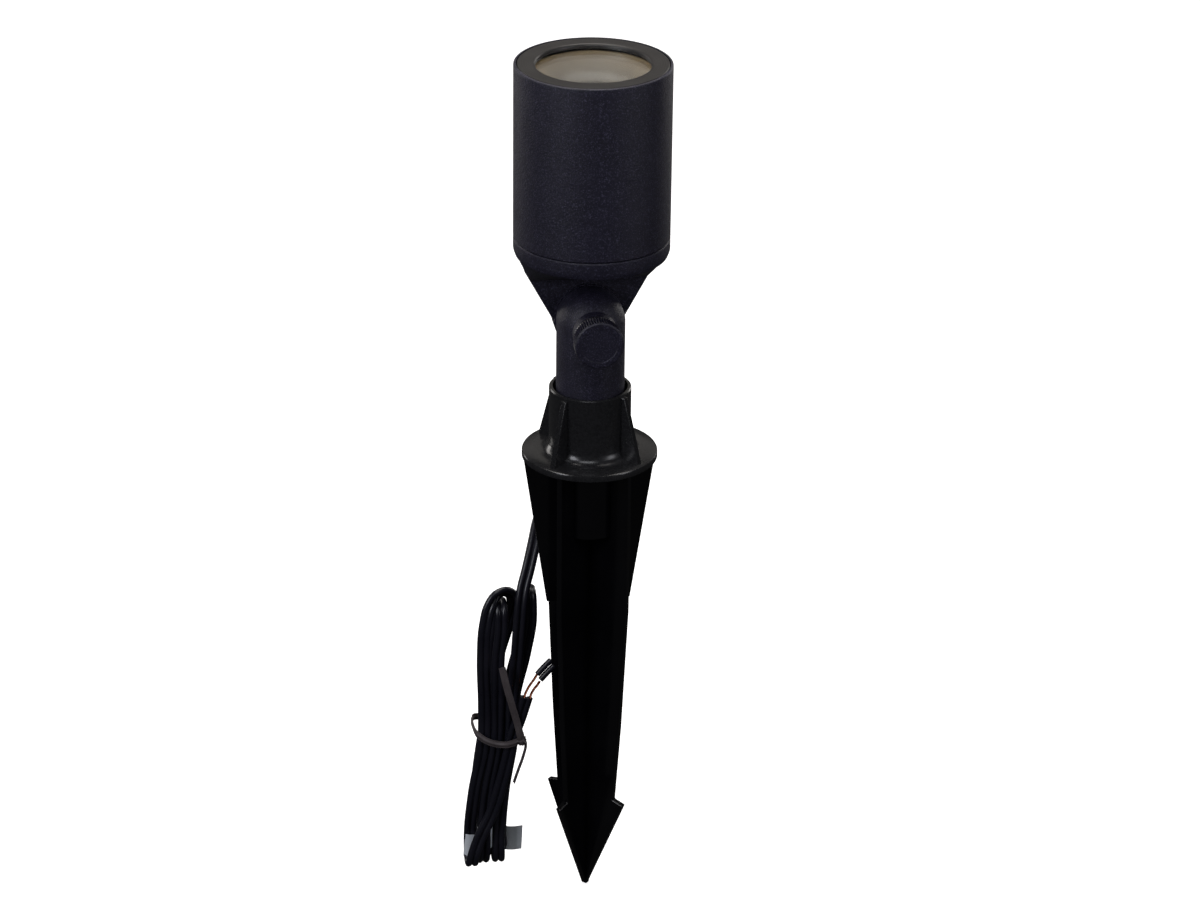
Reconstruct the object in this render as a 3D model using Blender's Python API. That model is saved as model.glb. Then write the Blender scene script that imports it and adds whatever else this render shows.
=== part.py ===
# Low-voltage garden spotlight on a ground stake, as separate pieces.
# Metres, +Z up. The origin is the centre of the stake flange's underside, which sits on the ground.
# X is right, -Y is the side of the clamp knob.

from math import cos, pi, radians, sin

import bmesh
import bpy
from mathutils import Vector
from mathutils.geometry import interpolate_bezier

GAP = 0.0003  # left between pieces that touch

# Head
HEAD_RADIUS = 0.0300
HEAD_TOP = 0.1610
SEAM_HEIGHT = 0.0920  # where the shroud meets the rear housing
SHROUD_INNER = 0.0278
SHOULDER_INNER = 0.0240  # ring inside the shroud that the lens rests on
SHOULDER_TOP = 0.1539
LENS_RADIUS = 0.0272
LENS_BOTTOM = 0.1557
LENS_TOP = 0.1586
WINDOW_RADIUS = 0.02175  # clear opening of the lens ring
RING_RADIUS = 0.0287
CAP_BOTTOM = 0.0854
CAP_BOTTOM_RADIUS = 0.0293
CAP_SLOPE = 0.5335  # how fast the neck's sides widen with height
SLEEVE_RADIUS = 0.0274  # part of the rear housing that the shroud screws onto
SLEEVE_INNER = 0.0247
SLEEVE_TOP = 0.1120
HOUSING_FLOOR = 0.0860
LEDGE_HEIGHT = 0.1055
LEDGE_INNER = 0.0236
CUP_BASE_RADIUS = 0.0137
CUP_TOP_RADIUS = 0.0234
CUP_BASE = 0.1462
CUP_TOP = 0.1536
LIGHT_RADIUS = 0.0106
BOARD_LOW = 0.0920  # driver board
BOARD_HIGH = 0.0936
BOARD_POST_X = 0.0150
HEAD_LEAD_Y = 0.0086

# Tilting joint
HINGE_HEIGHT = 0.0560
TONGUE_FRONT = 0.0043
TONGUE_BACK = 0.0130
TONGUE_RADIUS = 0.01385
TONGUE_NECK = 0.0720  # height where the tongue runs into the cap
TOOTH_COUNT = 34
TOOTH_DEPTH = 0.0005
TOOTH_PLATE = 0.0012
SCREW_RADIUS = 0.0024
INSERT_RADIUS = 0.0046
HINGE = (0.0, 0.0, HINGE_HEIGHT)

# Post
POST_RADIUS = 0.0133
POST_SEAT = 0.0125
POST_FRONT = 0.0152  # the flat that the clamp washer presses on
BOSS_RADIUS = 0.0086
CUTAWAY_HEIGHT = 0.0340  # the post's back half ends here, so that the tongue swings free
NIPPLE_RADIUS = 0.0103
NIPPLE_BOTTOM = -0.0095
LEAD_BORE = 0.0050

# Knob
WASHER_RADIUS = 0.0088
WASHER_THICKNESS = 0.0012
KNOB_RADIUS = 0.0095
KNOB_THICKNESS = 0.0068
KNURL_COUNT = 40
KNURL_DEPTH = 0.0004

# Stake
COLLAR_RADIUS = 0.0160
COLLAR_INNER = 0.0146
COLLAR_TOP = 0.0295
COLLAR_FILLET = 0.0045
FLANGE_RADIUS = 0.0265
FLANGE_THICKNESS = 0.0028
HUB_RADIUS = 0.0115
HUB_BOTTOM = -0.0320
HUB_BORE = 0.0063
RIB_THICKNESS = 0.0023
FIN_THICKNESS = 0.0024
GUSSET_THICKNESS = 0.0022
STAKE_TIP = -0.1940
PLATE_STEP = 0.0004  # keeps the ends of crossing plates out of one plane
OUTLET_HEIGHT = -0.0200

# Lead: a flat two-core cord, drawn as a round tube of its own width
LEAD_WIDTH = 0.0053
HANK_FRONT = 0.0030
HANK_BACK = 0.0205
CORE_RADIUS = 0.0014

SIDES = 48  # around the large round pieces
SMALL_SIDES = 32
TINY_SIDES = 16

# Base colour, metallic, roughness
FINISHES = {
    "powder_coat": ((0.012, 0.011, 0.018), 0.0, 0.55),
    "glossy_black": ((0.004, 0.004, 0.005), 0.0, 0.18),
    "lens_ring": ((0.026, 0.022, 0.016), 0.4, 0.40),
    "glass": ((0.80, 0.84, 0.82), 0.0, 0.05),
    "seal_rubber": ((0.015, 0.015, 0.015), 0.0, 0.80),
    "aluminium": ((0.62, 0.62, 0.63), 1.0, 0.40),
    "circuit_board": ((0.030, 0.045, 0.035), 0.0, 0.50),
    "phosphor": ((0.85, 0.86, 0.84), 0.0, 0.60),
    "cup_cream": ((0.42, 0.39, 0.29), 0.0, 0.45),
    "steel": ((0.55, 0.55, 0.56), 1.0, 0.30),
    "brass": ((0.62, 0.45, 0.18), 1.0, 0.35),
    "lead_black": ((0.008, 0.008, 0.011), 0.0, 0.28),
    "tie_grey": ((0.075, 0.062, 0.062), 0.0, 0.45),
    "tag_white": ((0.62, 0.66, 0.70), 0.0, 0.60),
    "copper": ((0.55, 0.16, 0.07), 1.0, 0.40),
}


def clear_scene():
    for old in list(bpy.data.objects):
        bpy.data.objects.remove(old, do_unlink=True)


def paint(piece, finish):
    colour, metallic, roughness = FINISHES[finish]
    material = bpy.data.materials.new(piece.name)
    material.use_nodes = True
    shader = material.node_tree.nodes["Principled BSDF"]
    shader.inputs["Base Color"].default_value = (*colour, 1.0)
    shader.inputs["Metallic"].default_value = metallic
    shader.inputs["Roughness"].default_value = roughness
    piece.data.materials.append(material)


def piece_from(name, mesh_work, finish):
    """Turn a bmesh into a named object with its own material."""
    bmesh.ops.recalc_face_normals(mesh_work, faces=mesh_work.faces)
    mesh = bpy.data.meshes.new(name)
    mesh_work.to_mesh(mesh)
    mesh_work.free()
    mesh.shade_smooth()
    mesh.set_sharp_from_angle(angle=radians(35))
    piece = bpy.data.objects.new(name, mesh)
    bpy.context.collection.objects.link(piece)
    if finish:
        paint(piece, finish)
    return piece


def body_axis(name, location, parent=None):
    """An empty on a joint's axis, which the pieces of one moving body hang on."""
    axis = bpy.data.objects.new(name, None)
    bpy.context.collection.objects.link(axis)
    axis.location = location
    bpy.context.view_layer.update()
    if parent:
        hang(axis, parent)
    return axis


def hang(piece, axis):
    bpy.context.view_layer.update()
    piece.parent = axis
    piece.matrix_parent_inverse = axis.matrix_world.inverted()


def turned(name, outline, finish, sides=SIDES, centre=(0.0, 0.0, 0.0), facing_front=False):
    """A body of revolution. The outline is (radius, height) pairs, and may start and end on the axis."""
    work = bmesh.new()
    points = [work.verts.new((radius, 0.0, height)) for radius, height in outline]
    edges = [work.edges.new(pair) for pair in zip(points, points[1:])]
    if outline[0][0] > 0.0:
        edges.append(work.edges.new((points[-1], points[0])))
    bmesh.ops.spin(work, geom=points + edges, axis=(0, 0, 1), cent=(0, 0, 0), angle=2 * pi, steps=sides)
    bmesh.ops.remove_doubles(work, verts=work.verts, dist=1e-6)
    centres = [point for point in work.verts if point.co.xy.length < 1e-6]
    bmesh.ops.dissolve_verts(work, verts=centres)  # a flat end becomes one face
    piece = piece_from(name, work, finish)
    piece.location = centre
    if facing_front:
        piece.rotation_euler = (pi / 2, 0.0, 0.0)  # the outline's heights then run towards -Y
    return piece


def prism(name, outline, low, high, finish, turn=0.0):
    """A plate: an (x, z) outline that runs from y = low to y = high, turned about Z."""
    work = bmesh.new()
    face = work.faces.new([work.verts.new((x, low, z)) for x, z in outline])
    grown = bmesh.ops.extrude_face_region(work, geom=[face])
    moved = [part for part in grown["geom"] if isinstance(part, bmesh.types.BMVert)]
    bmesh.ops.translate(work, verts=moved, vec=(0.0, high - low, 0.0))
    piece = piece_from(name, work, finish)
    piece.rotation_euler.z = turn
    return piece


def block(name, low, high, finish=None):
    outline = [(low[0], low[2]), (high[0], low[2]), (high[0], high[2]), (low[0], high[2])]
    return prism(name, outline, low[1], high[1], finish)


def rod(name, radius, low, high, finish=None, sides=SMALL_SIDES, centre=(0.0, 0.0, 0.0), facing_front=False):
    outline = [(0.0, low), (radius, low), (radius, high), (0.0, high)]
    return turned(name, outline, finish, sides, centre, facing_front)


def wrapped(name, points, finish):
    """The convex solid around a set of points."""
    work = bmesh.new()
    for point in points:
        work.verts.new(point)
    made = bmesh.ops.convex_hull(work, input=work.verts)
    unused = {part for part in made["geom_interior"] + made["geom_unused"] if part.is_valid}
    bmesh.ops.delete(work, geom=[part for part in unused if isinstance(part, bmesh.types.BMVert)])
    return piece_from(name, work, finish)


def bridge(work, rings):
    """Faces between each ring of points and the next."""
    for lower, upper in zip(rings, rings[1:]):
        for step, (start, other_start) in enumerate(zip(lower, upper)):
            after = (step + 1) % len(lower)
            work.faces.new((start, lower[after], upper[after], other_start))


def join(piece, other):
    combine(piece, other, "UNION")


def cut(piece, other):
    combine(piece, other, "DIFFERENCE")


def combine(piece, other, operation):
    step = piece.modifiers.new(other.name, "BOOLEAN")
    step.operation = operation
    step.object = other
    step.solver = "EXACT"
    other.hide_render = True
    other.display_type = "WIRE"


def smooth_route(route, steps):
    """Points on a smooth curve through the route's points."""
    points = [Vector(point) for point in route]
    ends = [points[0] * 2 - points[1], *points, points[-1] * 2 - points[-2]]
    curve = []
    for before, start, stop, after in zip(ends, ends[1:], ends[2:], ends[3:]):
        first_handle = start + (stop - before) / 6
        last_handle = stop - (after - start) / 6
        curve += interpolate_bezier(start, first_handle, last_handle, stop, steps + 1)[:-1]
    return [*curve, points[-1]]


def tube(name, route, radius, finish, steps):
    """A round tube with filled ends, along a smooth route that takes so many steps for each stretch."""
    curve = bpy.data.curves.new(name, "CURVE")
    curve.dimensions = "3D"
    curve.bevel_depth = radius
    curve.bevel_resolution = 2
    curve.use_fill_caps = True
    points = smooth_route(route, steps)
    spline = curve.splines.new("POLY")
    spline.points.add(len(points) - 1)
    for spot, point in zip(spline.points, points):
        spot.co = (*point, 1.0)
    piece = bpy.data.objects.new(name, curve)
    bpy.context.collection.objects.link(piece)
    paint(piece, finish)
    return piece


def arc(centre, radius, start, stop, steps):
    """Points (x, z) along an arc, with angles in degrees from +x."""
    angles = [radians(start + (stop - start) * step / steps) for step in range(steps + 1)]
    return [(centre[0] + radius * cos(angle), centre[1] + radius * sin(angle)) for angle in angles]


def mirrored(outline):
    """The outline's right side, and then the same points on the left, in order."""
    return outline + [(-x, z) for x, z in reversed(outline)]


# Head: rear housing and what it carries

def rear_housing():
    outline = [
        (0.0, CAP_BOTTOM),
        (CAP_BOTTOM_RADIUS, CAP_BOTTOM),
        (HEAD_RADIUS - 0.0002, 0.0867),
        (HEAD_RADIUS, 0.0880),
        (HEAD_RADIUS, SEAM_HEIGHT),
        (SLEEVE_RADIUS, SEAM_HEIGHT),
        (SLEEVE_RADIUS, 0.0960),
        (0.0258, 0.0960),
        (0.0258, 0.0984),
        (SLEEVE_RADIUS, 0.0984),
        (SLEEVE_RADIUS, SLEEVE_TOP - 0.0005),
        (SLEEVE_RADIUS - 0.0005, SLEEVE_TOP),
        (SLEEVE_INNER, SLEEVE_TOP),
        (SLEEVE_INNER, LEDGE_HEIGHT),
        (LEDGE_INNER, LEDGE_HEIGHT),
        (LEDGE_INNER, HOUSING_FLOOR + 0.0015),
        (0.0, HOUSING_FLOOR + 0.0015),
    ]
    housing = turned("rear_housing", outline, "powder_coat")
    join(housing, cap_neck())
    join(housing, tongue())
    join(housing, toothed_disc())
    join(housing, board_post("left_board_post", -BOARD_POST_X))
    join(housing, board_post("right_board_post", BOARD_POST_X))
    cut(housing, rod("screw_way", SCREW_RADIUS + 0.0005, -0.0200, 0.0, None, SMALL_SIDES, HINGE, True))
    cut(housing, hexagon("insert_pocket", INSERT_RADIUS + GAP, -0.0200, -0.0078))
    cut(housing, rod("lead_way", 0.0032, 0.0650, 0.1000, None, TINY_SIDES, (0.0, HEAD_LEAD_Y, 0.0)))
    return housing


def cap_neck():
    """The flared neck between the round cap and the flat tongue."""
    half_width = TONGUE_RADIUS + CAP_SLOPE * (TONGUE_NECK - HINGE_HEIGHT)
    rim = [(CAP_BOTTOM_RADIUS * cos(angle), CAP_BOTTOM_RADIUS * sin(angle), CAP_BOTTOM + 0.0006)
           for angle in [2 * pi * step / SIDES for step in range(SIDES)]]
    depths = (TONGUE_FRONT + TOOTH_PLATE, TONGUE_BACK)
    neck = [(x, y, TONGUE_NECK) for x in (-half_width, half_width) for y in depths]
    return wrapped("cap_neck", rim + neck, None)


def tongue():
    """The flat ear behind the joint, round about the hinge and flaring up into the neck."""
    overlap = 0.0040
    half_width = TONGUE_RADIUS + CAP_SLOPE * (TONGUE_NECK + overlap - HINGE_HEIGHT)
    side = [(half_width, TONGUE_NECK + overlap), (TONGUE_RADIUS + 0.0005, HINGE_HEIGHT)]
    side += arc((0.0, HINGE_HEIGHT), TONGUE_RADIUS, -8, -82, 8)
    return prism("tongue", mirrored(side), TONGUE_FRONT + TOOTH_PLATE, TONGUE_BACK, None)


def toothed_disc():
    """The tongue's front disc, whose wavy rim shows where the teeth of the joint mesh."""
    steps = TOOTH_COUNT * 4
    rim = []
    for step in range(steps):
        wave = 0.5 - 0.5 * cos(pi * step / 2)
        angle = 2 * pi * step / steps
        radius = TONGUE_RADIUS - TOOTH_DEPTH * wave
        rim.append((radius * cos(angle), HINGE_HEIGHT + radius * sin(angle)))
    return prism("toothed_disc", rim, TONGUE_FRONT, TONGUE_FRONT + 2 * TOOTH_PLATE, None)


def board_post(name, x):
    return rod(name, 0.0026, HOUSING_FLOOR, 0.0917, sides=TINY_SIDES, centre=(x, 0.0, 0.0))


def hexagon(name, radius, low, high, finish=None):
    return rod(name, radius, low, high, finish, sides=6, centre=HINGE, facing_front=True)


def threaded_insert():
    insert = hexagon("threaded_insert", INSERT_RADIUS, -TONGUE_BACK, -0.0081, "brass")
    cut(insert, rod("insert_bore", SCREW_RADIUS + GAP, -0.0200, 0.0, None, TINY_SIDES, HINGE, True))
    return insert


def body_o_ring():
    outline = arc((0.0268, 0.0972), 0.0007, 0, 315, 7)
    return turned("body_o_ring", outline, "seal_rubber", sides=SMALL_SIDES)


def heat_sink():
    outline = [(0.0, 0.1058), (SLEEVE_INNER - GAP, 0.1058)]
    outline += [(SLEEVE_INNER - GAP, 0.1098), (0.0160, 0.1098)]
    for level in (0.1150, 0.1225, 0.1300):
        outline += [(0.0160, level), (0.0230, level), (0.0230, level + 0.0018), (0.0160, level + 0.0018)]
    outline += [(0.0160, 0.1434), (0.0, 0.1434)]
    sink = turned("heat_sink", outline, "aluminium", sides=SMALL_SIDES)
    cut(sink, block("wire_channel", (-0.0025, -0.0300, 0.1000), (0.0025, -0.0165, 0.1400)))
    return sink


def led_board():
    return rod("led_board", 0.0150, 0.1437, 0.1453, "circuit_board", sides=SMALL_SIDES)


def led_diffuser():
    outline = [(0.0, 0.1456), (LIGHT_RADIUS, 0.1456), (LIGHT_RADIUS, 0.1464)]
    outline += [(LIGHT_RADIUS - 0.0004, 0.1468), (0.0, 0.1470)]
    return turned("led_diffuser", outline, "phosphor", sides=SMALL_SIDES)


def reflector_cup():
    wall = 0.0008
    outline = [
        (CUP_BASE_RADIUS, CUP_BASE),
        (CUP_BASE_RADIUS + 0.0010, CUP_BASE),
        (0.0190, 0.1483),
        (CUP_TOP_RADIUS - wall, 0.1520),
        (CUP_TOP_RADIUS, 0.1524),
        (CUP_TOP_RADIUS, CUP_TOP),
        (CUP_TOP_RADIUS - wall, CUP_TOP),
        (0.0188, 0.1493),
    ]
    return turned("reflector_cup", outline, "cup_cream")


def driver_board():
    board = rod("driver_board", 0.0220, BOARD_LOW, BOARD_HIGH, "circuit_board", sides=SMALL_SIDES)
    for side in (-1, 1):
        place = (side * BOARD_POST_X, 0.0, 0.0)
        cut(board, rod("board_hole", 0.0013, 0.0900, 0.0950, None, TINY_SIDES, place))
    cut(board, rod("wire_hole", 0.0030, 0.0900, 0.0950, None, TINY_SIDES, (0.0, HEAD_LEAD_Y, 0.0)))
    return board


def driver_parts():
    """The taller components on the driver board, each a piece of its own."""
    low = BOARD_HIGH + GAP
    return [
        rod("input_capacitor", 0.0040, low, 0.1040, "lead_black", TINY_SIDES, (-0.0080, -0.0090, 0.0)),
        rod("output_capacitor", 0.0030, low, 0.1010, "lead_black", TINY_SIDES, (0.0080, -0.0110, 0.0)),
        rod("inductor", 0.0045, low, 0.1000, "copper", TINY_SIDES, (-0.0050, 0.0130, 0.0)),
        block("rectifier", (0.0030, -0.0050, low), (0.0100, 0.0010, low + 0.0028), "lead_black"),
        block("control_chip", (-0.0090, 0.0000, low), (-0.0040, 0.0040, low + 0.0016), "lead_black"),
    ]


def board_screws():
    seat = BOARD_HIGH + GAP
    outline = [(0.0, seat - 0.0015), (0.0009, seat - 0.0015), (0.0009, seat), (0.0019, seat)]
    outline += [(0.0019, seat + 0.0008), (0.0013, seat + 0.0013), (0.0, seat + 0.0014)]
    return [turned(f"board_screw_{number}", outline, "steel", 12, (x, 0.0, 0.0))
            for number, x in ((1, -BOARD_POST_X), (2, BOARD_POST_X))]


def lead_grommet():
    outline = [
        (0.0019, 0.0830),
        (0.0029, 0.0830),
        (0.0029, HOUSING_FLOOR + 0.0015 + GAP),
        (0.0044, HOUSING_FLOOR + 0.0015 + GAP),
        (0.0044, HOUSING_FLOOR + 0.0028),
        (0.0019, HOUSING_FLOOR + 0.0028),
    ]
    return turned("lead_grommet", outline, "seal_rubber", sides=TINY_SIDES, centre=(0.0, HEAD_LEAD_Y, 0.0))


def head_leads():
    """Two cores from the tongue to the driver, and two on to the light board."""
    leads = []
    for number, x in ((1, -0.0010), (2, 0.0010)):
        inlet = [(x, HEAD_LEAD_Y, 0.0670), (x, HEAD_LEAD_Y, 0.0800), (x, HEAD_LEAD_Y, 0.0950)]
        outlet = [(x, -0.0190, BOARD_HIGH + GAP), (x, -0.0195, 0.1050), (x, -0.0192, 0.1300),
                  (x, -0.0183, 0.1420), (x, -0.0156, 0.1446)]
        leads.append(tube(f"driver_lead_{number}", inlet, 0.0007, "lead_black", 2))
        leads.append(tube(f"light_lead_{number}", outlet, 0.0007, "lead_black", 2))
    return leads


# Shroud and lens

def lens_shroud():
    outline = [
        (SHROUD_INNER, SEAM_HEIGHT + GAP),
        (HEAD_RADIUS - 0.0003, SEAM_HEIGHT + GAP),
        (HEAD_RADIUS, SEAM_HEIGHT + 2 * GAP),
        (HEAD_RADIUS, HEAD_TOP - 0.0005),
        (HEAD_RADIUS - 0.0005, HEAD_TOP),
        (RING_RADIUS + GAP, HEAD_TOP),
        (RING_RADIUS + GAP, LENS_TOP - 0.0003),
        (LENS_RADIUS + GAP, LENS_TOP - 0.0003),
        (LENS_RADIUS + GAP, SHOULDER_TOP),
        (SHOULDER_INNER, SHOULDER_TOP),
        (SHOULDER_INNER, SHOULDER_TOP - 0.0024),
        (SHROUD_INNER, SHOULDER_TOP - 0.0062),
    ]
    return turned("lens_shroud", outline, "powder_coat")


def lens_ring():
    outline = [
        (WINDOW_RADIUS + 0.0008, LENS_TOP + GAP),
        (RING_RADIUS, LENS_TOP + GAP),
        (RING_RADIUS, HEAD_TOP),
        (WINDOW_RADIUS + 0.0006, HEAD_TOP),
        (WINDOW_RADIUS, HEAD_TOP - 0.0008),
        (WINDOW_RADIUS, LENS_TOP + 0.0008),
    ]
    return turned("lens_ring", outline, "lens_ring")


def lens_glass():
    outline = [(0.0, LENS_BOTTOM), (LENS_RADIUS - 0.0003, LENS_BOTTOM), (LENS_RADIUS, LENS_BOTTOM + 0.0003)]
    outline += [(LENS_RADIUS, LENS_TOP - 0.0003), (LENS_RADIUS - 0.0003, LENS_TOP), (0.0, LENS_TOP)]
    return turned("lens_glass", outline, "glass")


def lens_gasket():
    low, high = SHOULDER_TOP + GAP, LENS_BOTTOM - GAP
    outline = [(SHOULDER_INNER, low), (LENS_RADIUS, low), (LENS_RADIUS, high), (SHOULDER_INNER, high)]
    return turned("lens_gasket", outline, "seal_rubber", sides=SMALL_SIDES)


# Post and clamp

def knuckle_post():
    outline = [
        (0.0, NIPPLE_BOTTOM),
        (NIPPLE_RADIUS - 0.0005, NIPPLE_BOTTOM),
        (NIPPLE_RADIUS, NIPPLE_BOTTOM + 0.0005),
        (NIPPLE_RADIUS, POST_SEAT),
        (POST_RADIUS, POST_SEAT),
        (POST_RADIUS, HINGE_HEIGHT + 0.0200),
        (0.0, HINGE_HEIGHT + 0.0200),
    ]
    post = turned("knuckle_post", outline, "powder_coat")
    combine(post, knuckle_dome(), "INTERSECT")
    boss_back = POST_RADIUS - 0.0040
    join(post, rod("washer_boss", BOSS_RADIUS, boss_back, POST_FRONT, None, SMALL_SIDES, HINGE, True))
    cut(post, rod("lead_bore", LEAD_BORE, NIPPLE_BOTTOM - 0.0050, 0.0470))
    cut(post, block("back_cutaway", (-0.0200, TONGUE_FRONT - GAP, CUTAWAY_HEIGHT), (0.0200, 0.0300, 0.0800)))
    cut(post, rod("clamp_bore", SCREW_RADIUS + GAP, -0.0300, 0.0300, None, TINY_SIDES, HINGE, True))
    return post


def knuckle_dome():
    """What the post's top is trimmed to: a ball in front of the hinge and a drum behind it, open below."""
    radius = POST_RADIUS + 0.00005
    rounding = radius - 0.0002
    outline = [(0.0, -0.0300), (radius, -0.0300), (radius, radius - rounding)]
    outline += arc((radius - rounding, radius - rounding), rounding, 0, 90, 16)[1:]
    outline += [(0.0, radius)]
    drum = turned("knuckle_dome", outline, None, centre=HINGE, facing_front=True)
    join(drum, block("below_hinge", (-0.0200, -0.0200, -0.0200), (0.0200, 0.0310, HINGE_HEIGHT - 0.0002)))
    return drum


def post_washer():
    inner, low, high = NIPPLE_RADIUS + GAP, 0.0110, POST_SEAT - GAP
    outline = [(inner, low), (0.0142, low), (0.0142, high), (inner, high)]
    return turned("post_washer", outline, "seal_rubber", sides=SMALL_SIDES)


def clamp_washer():
    low = POST_FRONT + GAP
    high = low + WASHER_THICKNESS
    inner = SCREW_RADIUS + GAP
    outline = [(inner, low), (WASHER_RADIUS, low), (WASHER_RADIUS, high), (inner, high)]
    return turned("clamp_washer", outline, "steel", sides=SMALL_SIDES, centre=HINGE, facing_front=True)


KNOB_LOW = POST_FRONT + WASHER_THICKNESS + 2 * GAP


def clamp_knob():
    """A thumb nut with a fine knurl round its rim and a plain front face."""
    work = bmesh.new()
    steps = KNURL_COUNT * 2
    knob_high = KNOB_LOW + KNOB_THICKNESS
    levels = [(KNOB_LOW, -0.0006, 0), (KNOB_LOW + 0.0006, 0.0, 1)]
    levels += [(knob_high - 0.0008, 0.0, 1), (knob_high, -0.0008, 0)]
    rings = []
    for height, grow, knurled in levels:
        ring = []
        for step in range(steps):
            radius = KNOB_RADIUS + grow - KNURL_DEPTH * knurled * (step % 2)
            angle = 2 * pi * step / steps
            ring.append(work.verts.new((radius * cos(angle), radius * sin(angle), height)))
        rings.append(ring)
    bridge(work, rings)
    work.faces.new(rings[0])
    work.faces.new(rings[-1])
    knob = piece_from("clamp_knob", work, "powder_coat")
    knob.location = HINGE
    knob.rotation_euler = (pi / 2, 0.0, 0.0)
    cut(knob, rod("screw_socket", SCREW_RADIUS + GAP, 0.0, KNOB_LOW + 0.0045, None, TINY_SIDES, HINGE, True))
    return knob


def clamp_screw():
    return rod("clamp_screw", SCREW_RADIUS, -0.0125, KNOB_LOW + 0.0042, "steel", TINY_SIDES, HINGE, True)


# Stake

def ground_stake():
    fillet_centre = (COLLAR_RADIUS + COLLAR_FILLET, FLANGE_THICKNESS + COLLAR_FILLET)
    fillet = arc(fillet_centre, COLLAR_FILLET, 180, 270, 6)
    outline = [(0.0, COLLAR_TOP), (COLLAR_RADIUS - 0.0003, COLLAR_TOP), (COLLAR_RADIUS, COLLAR_TOP - 0.0003)]
    outline += fillet
    outline += [
        (FLANGE_RADIUS - 0.0005, FLANGE_THICKNESS),
        (FLANGE_RADIUS, FLANGE_THICKNESS - 0.0006),
        (FLANGE_RADIUS, 0.0),
        (HUB_RADIUS, 0.0),
        (HUB_RADIUS, HUB_BOTTOM),
        (0.0, HUB_BOTTOM),
    ]
    stake = turned("ground_stake", outline, "glossy_black")
    for turn, step in ((45, 0.0), (135, PLATE_STEP)):
        join(stake, fin_plate(turn, step))
        join(stake, rib_plate(turn, step))
    join(stake, gusset_plate())
    cut(stake, stake_bore())
    window_low = (-0.0049, 0.0040, OUTLET_HEIGHT - 0.0037)
    window_high = (0.0049, 0.0200, OUTLET_HEIGHT + 0.0037)
    cut(stake, block("outlet_window", window_low, window_high))
    return stake


def fin_plate(turn, step):
    """One of the two crossed plates that make the four fins and their barbs."""
    side = [
        (0.0195, 0.0008 + step),
        (0.0193, -0.0630),
        (0.0165, -0.1160),
        (0.0139, -0.1500),
        (0.0189, -0.1512),
        (0.0009, STAKE_TIP + step),
    ]
    half = FIN_THICKNESS / 2
    return prism(f"fin_plate_{turn}", mirrored(side), -half, half, None, radians(turn))


def rib_plate(turn, step):
    side = [(0.0242, 0.0018 + step / 2), (0.0242, FLANGE_THICKNESS + 0.0006)]
    side += [(COLLAR_RADIUS + 0.0011, 0.0282 + step), (COLLAR_RADIUS - 0.0007, 0.0287 + step)]
    half = RIB_THICKNESS / 2
    return prism(f"rib_plate_{turn}", mirrored(side), -half, half, None, radians(turn))


def gusset_plate():
    side = [(0.0259, 0.0015), (0.0259, -0.0006), (0.0166, -0.0630), (0.0008, -0.0645)]
    half = GUSSET_THICKNESS / 2
    return prism("gusset_plate", mirrored(side), -half, half, None)


def stake_bore():
    outline = [
        (0.0, COLLAR_TOP + 0.0100),
        (COLLAR_INNER, COLLAR_TOP + 0.0100),
        (COLLAR_INNER, 0.0107),
        (NIPPLE_RADIUS + GAP, 0.0107),
        (NIPPLE_RADIUS + GAP, NIPPLE_BOTTOM - 0.0010),
        (HUB_BORE, NIPPLE_BOTTOM - 0.0010),
        (HUB_BORE, HUB_BOTTOM + 0.0030),
        (0.0, HUB_BOTTOM + 0.0030),
    ]
    return turned("stake_bore", outline, None)


def supply_lead():
    """The lead inside the post and the hub, up to the outlet."""
    route = [(0.0, 0.0, 0.0440), (0.0, 0.0, 0.0200), (0.0, 0.0, 0.0), (0.0, 0.0002, -0.0090),
             (0.0, 0.0018, -0.0160), (0.0, 0.0046, -0.0193), (0.0, 0.0070, OUTLET_HEIGHT)]
    return tube("supply_lead", route, 0.0019, "lead_black", 3)


def outlet_grommet():
    """The oval rubber bush in the hub's outlet, drawn out into a short tapered sleeve."""
    work = bmesh.new()
    levels = [(0.0080, 0.0045, 0.0033), (0.0118, 0.0045, 0.0033), (0.0118, 0.0056, 0.0044)]
    levels += [(0.0134, 0.0056, 0.0044), (0.0140, 0.0046, 0.0036), (0.0215, 0.0033, 0.0024)]
    rings = []
    for depth, half_width, half_height in levels:
        ring = []
        for step in range(SMALL_SIDES):
            angle = 2 * pi * step / SMALL_SIDES
            spot = (half_width * cos(angle), depth, OUTLET_HEIGHT + half_height * sin(angle))
            ring.append(work.verts.new(spot))
        rings.append(ring)
    bridge(work, rings)
    work.faces.new(rings[0])
    work.faces.new(rings[-1])
    return piece_from("outlet_grommet", work, "seal_rubber")


# Lead, hank and what is on them

LEAD_ROUTE = [
    (0.0000, 0.0218, -0.0200),
    (-0.0005, 0.0270, -0.0205),
    (-0.0030, 0.0315, -0.0230),
    (-0.0080, 0.0335, -0.0280),
    (-0.0140, 0.0310, -0.0350),
    (-0.0195, 0.0255, -0.0420),
    (-0.0232, 0.0185, -0.0480),
    (-0.0254, 0.0125, -0.0540),
    (-0.0260, 0.0095, -0.0592),
]


def cord_lead():
    return tube("cord_lead", LEAD_ROUTE, LEAD_WIDTH / 2, "lead_black", 2)


def cord_hank():
    """The folded lead, as one solid of its outer shape, pinched where the tie holds it."""
    outline = [(-0.0442, -0.1220)]
    outline += arc((-0.0315, -0.0720), 0.0120, 180, 0, 12)
    outline += [(-0.0256, -0.1120)]
    outline += arc((-0.0402, -0.1782), 0.0092, 0, -180, 12)
    return prism("cord_hank", outline, HANK_FRONT, HANK_BACK, "lead_black")


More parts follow.
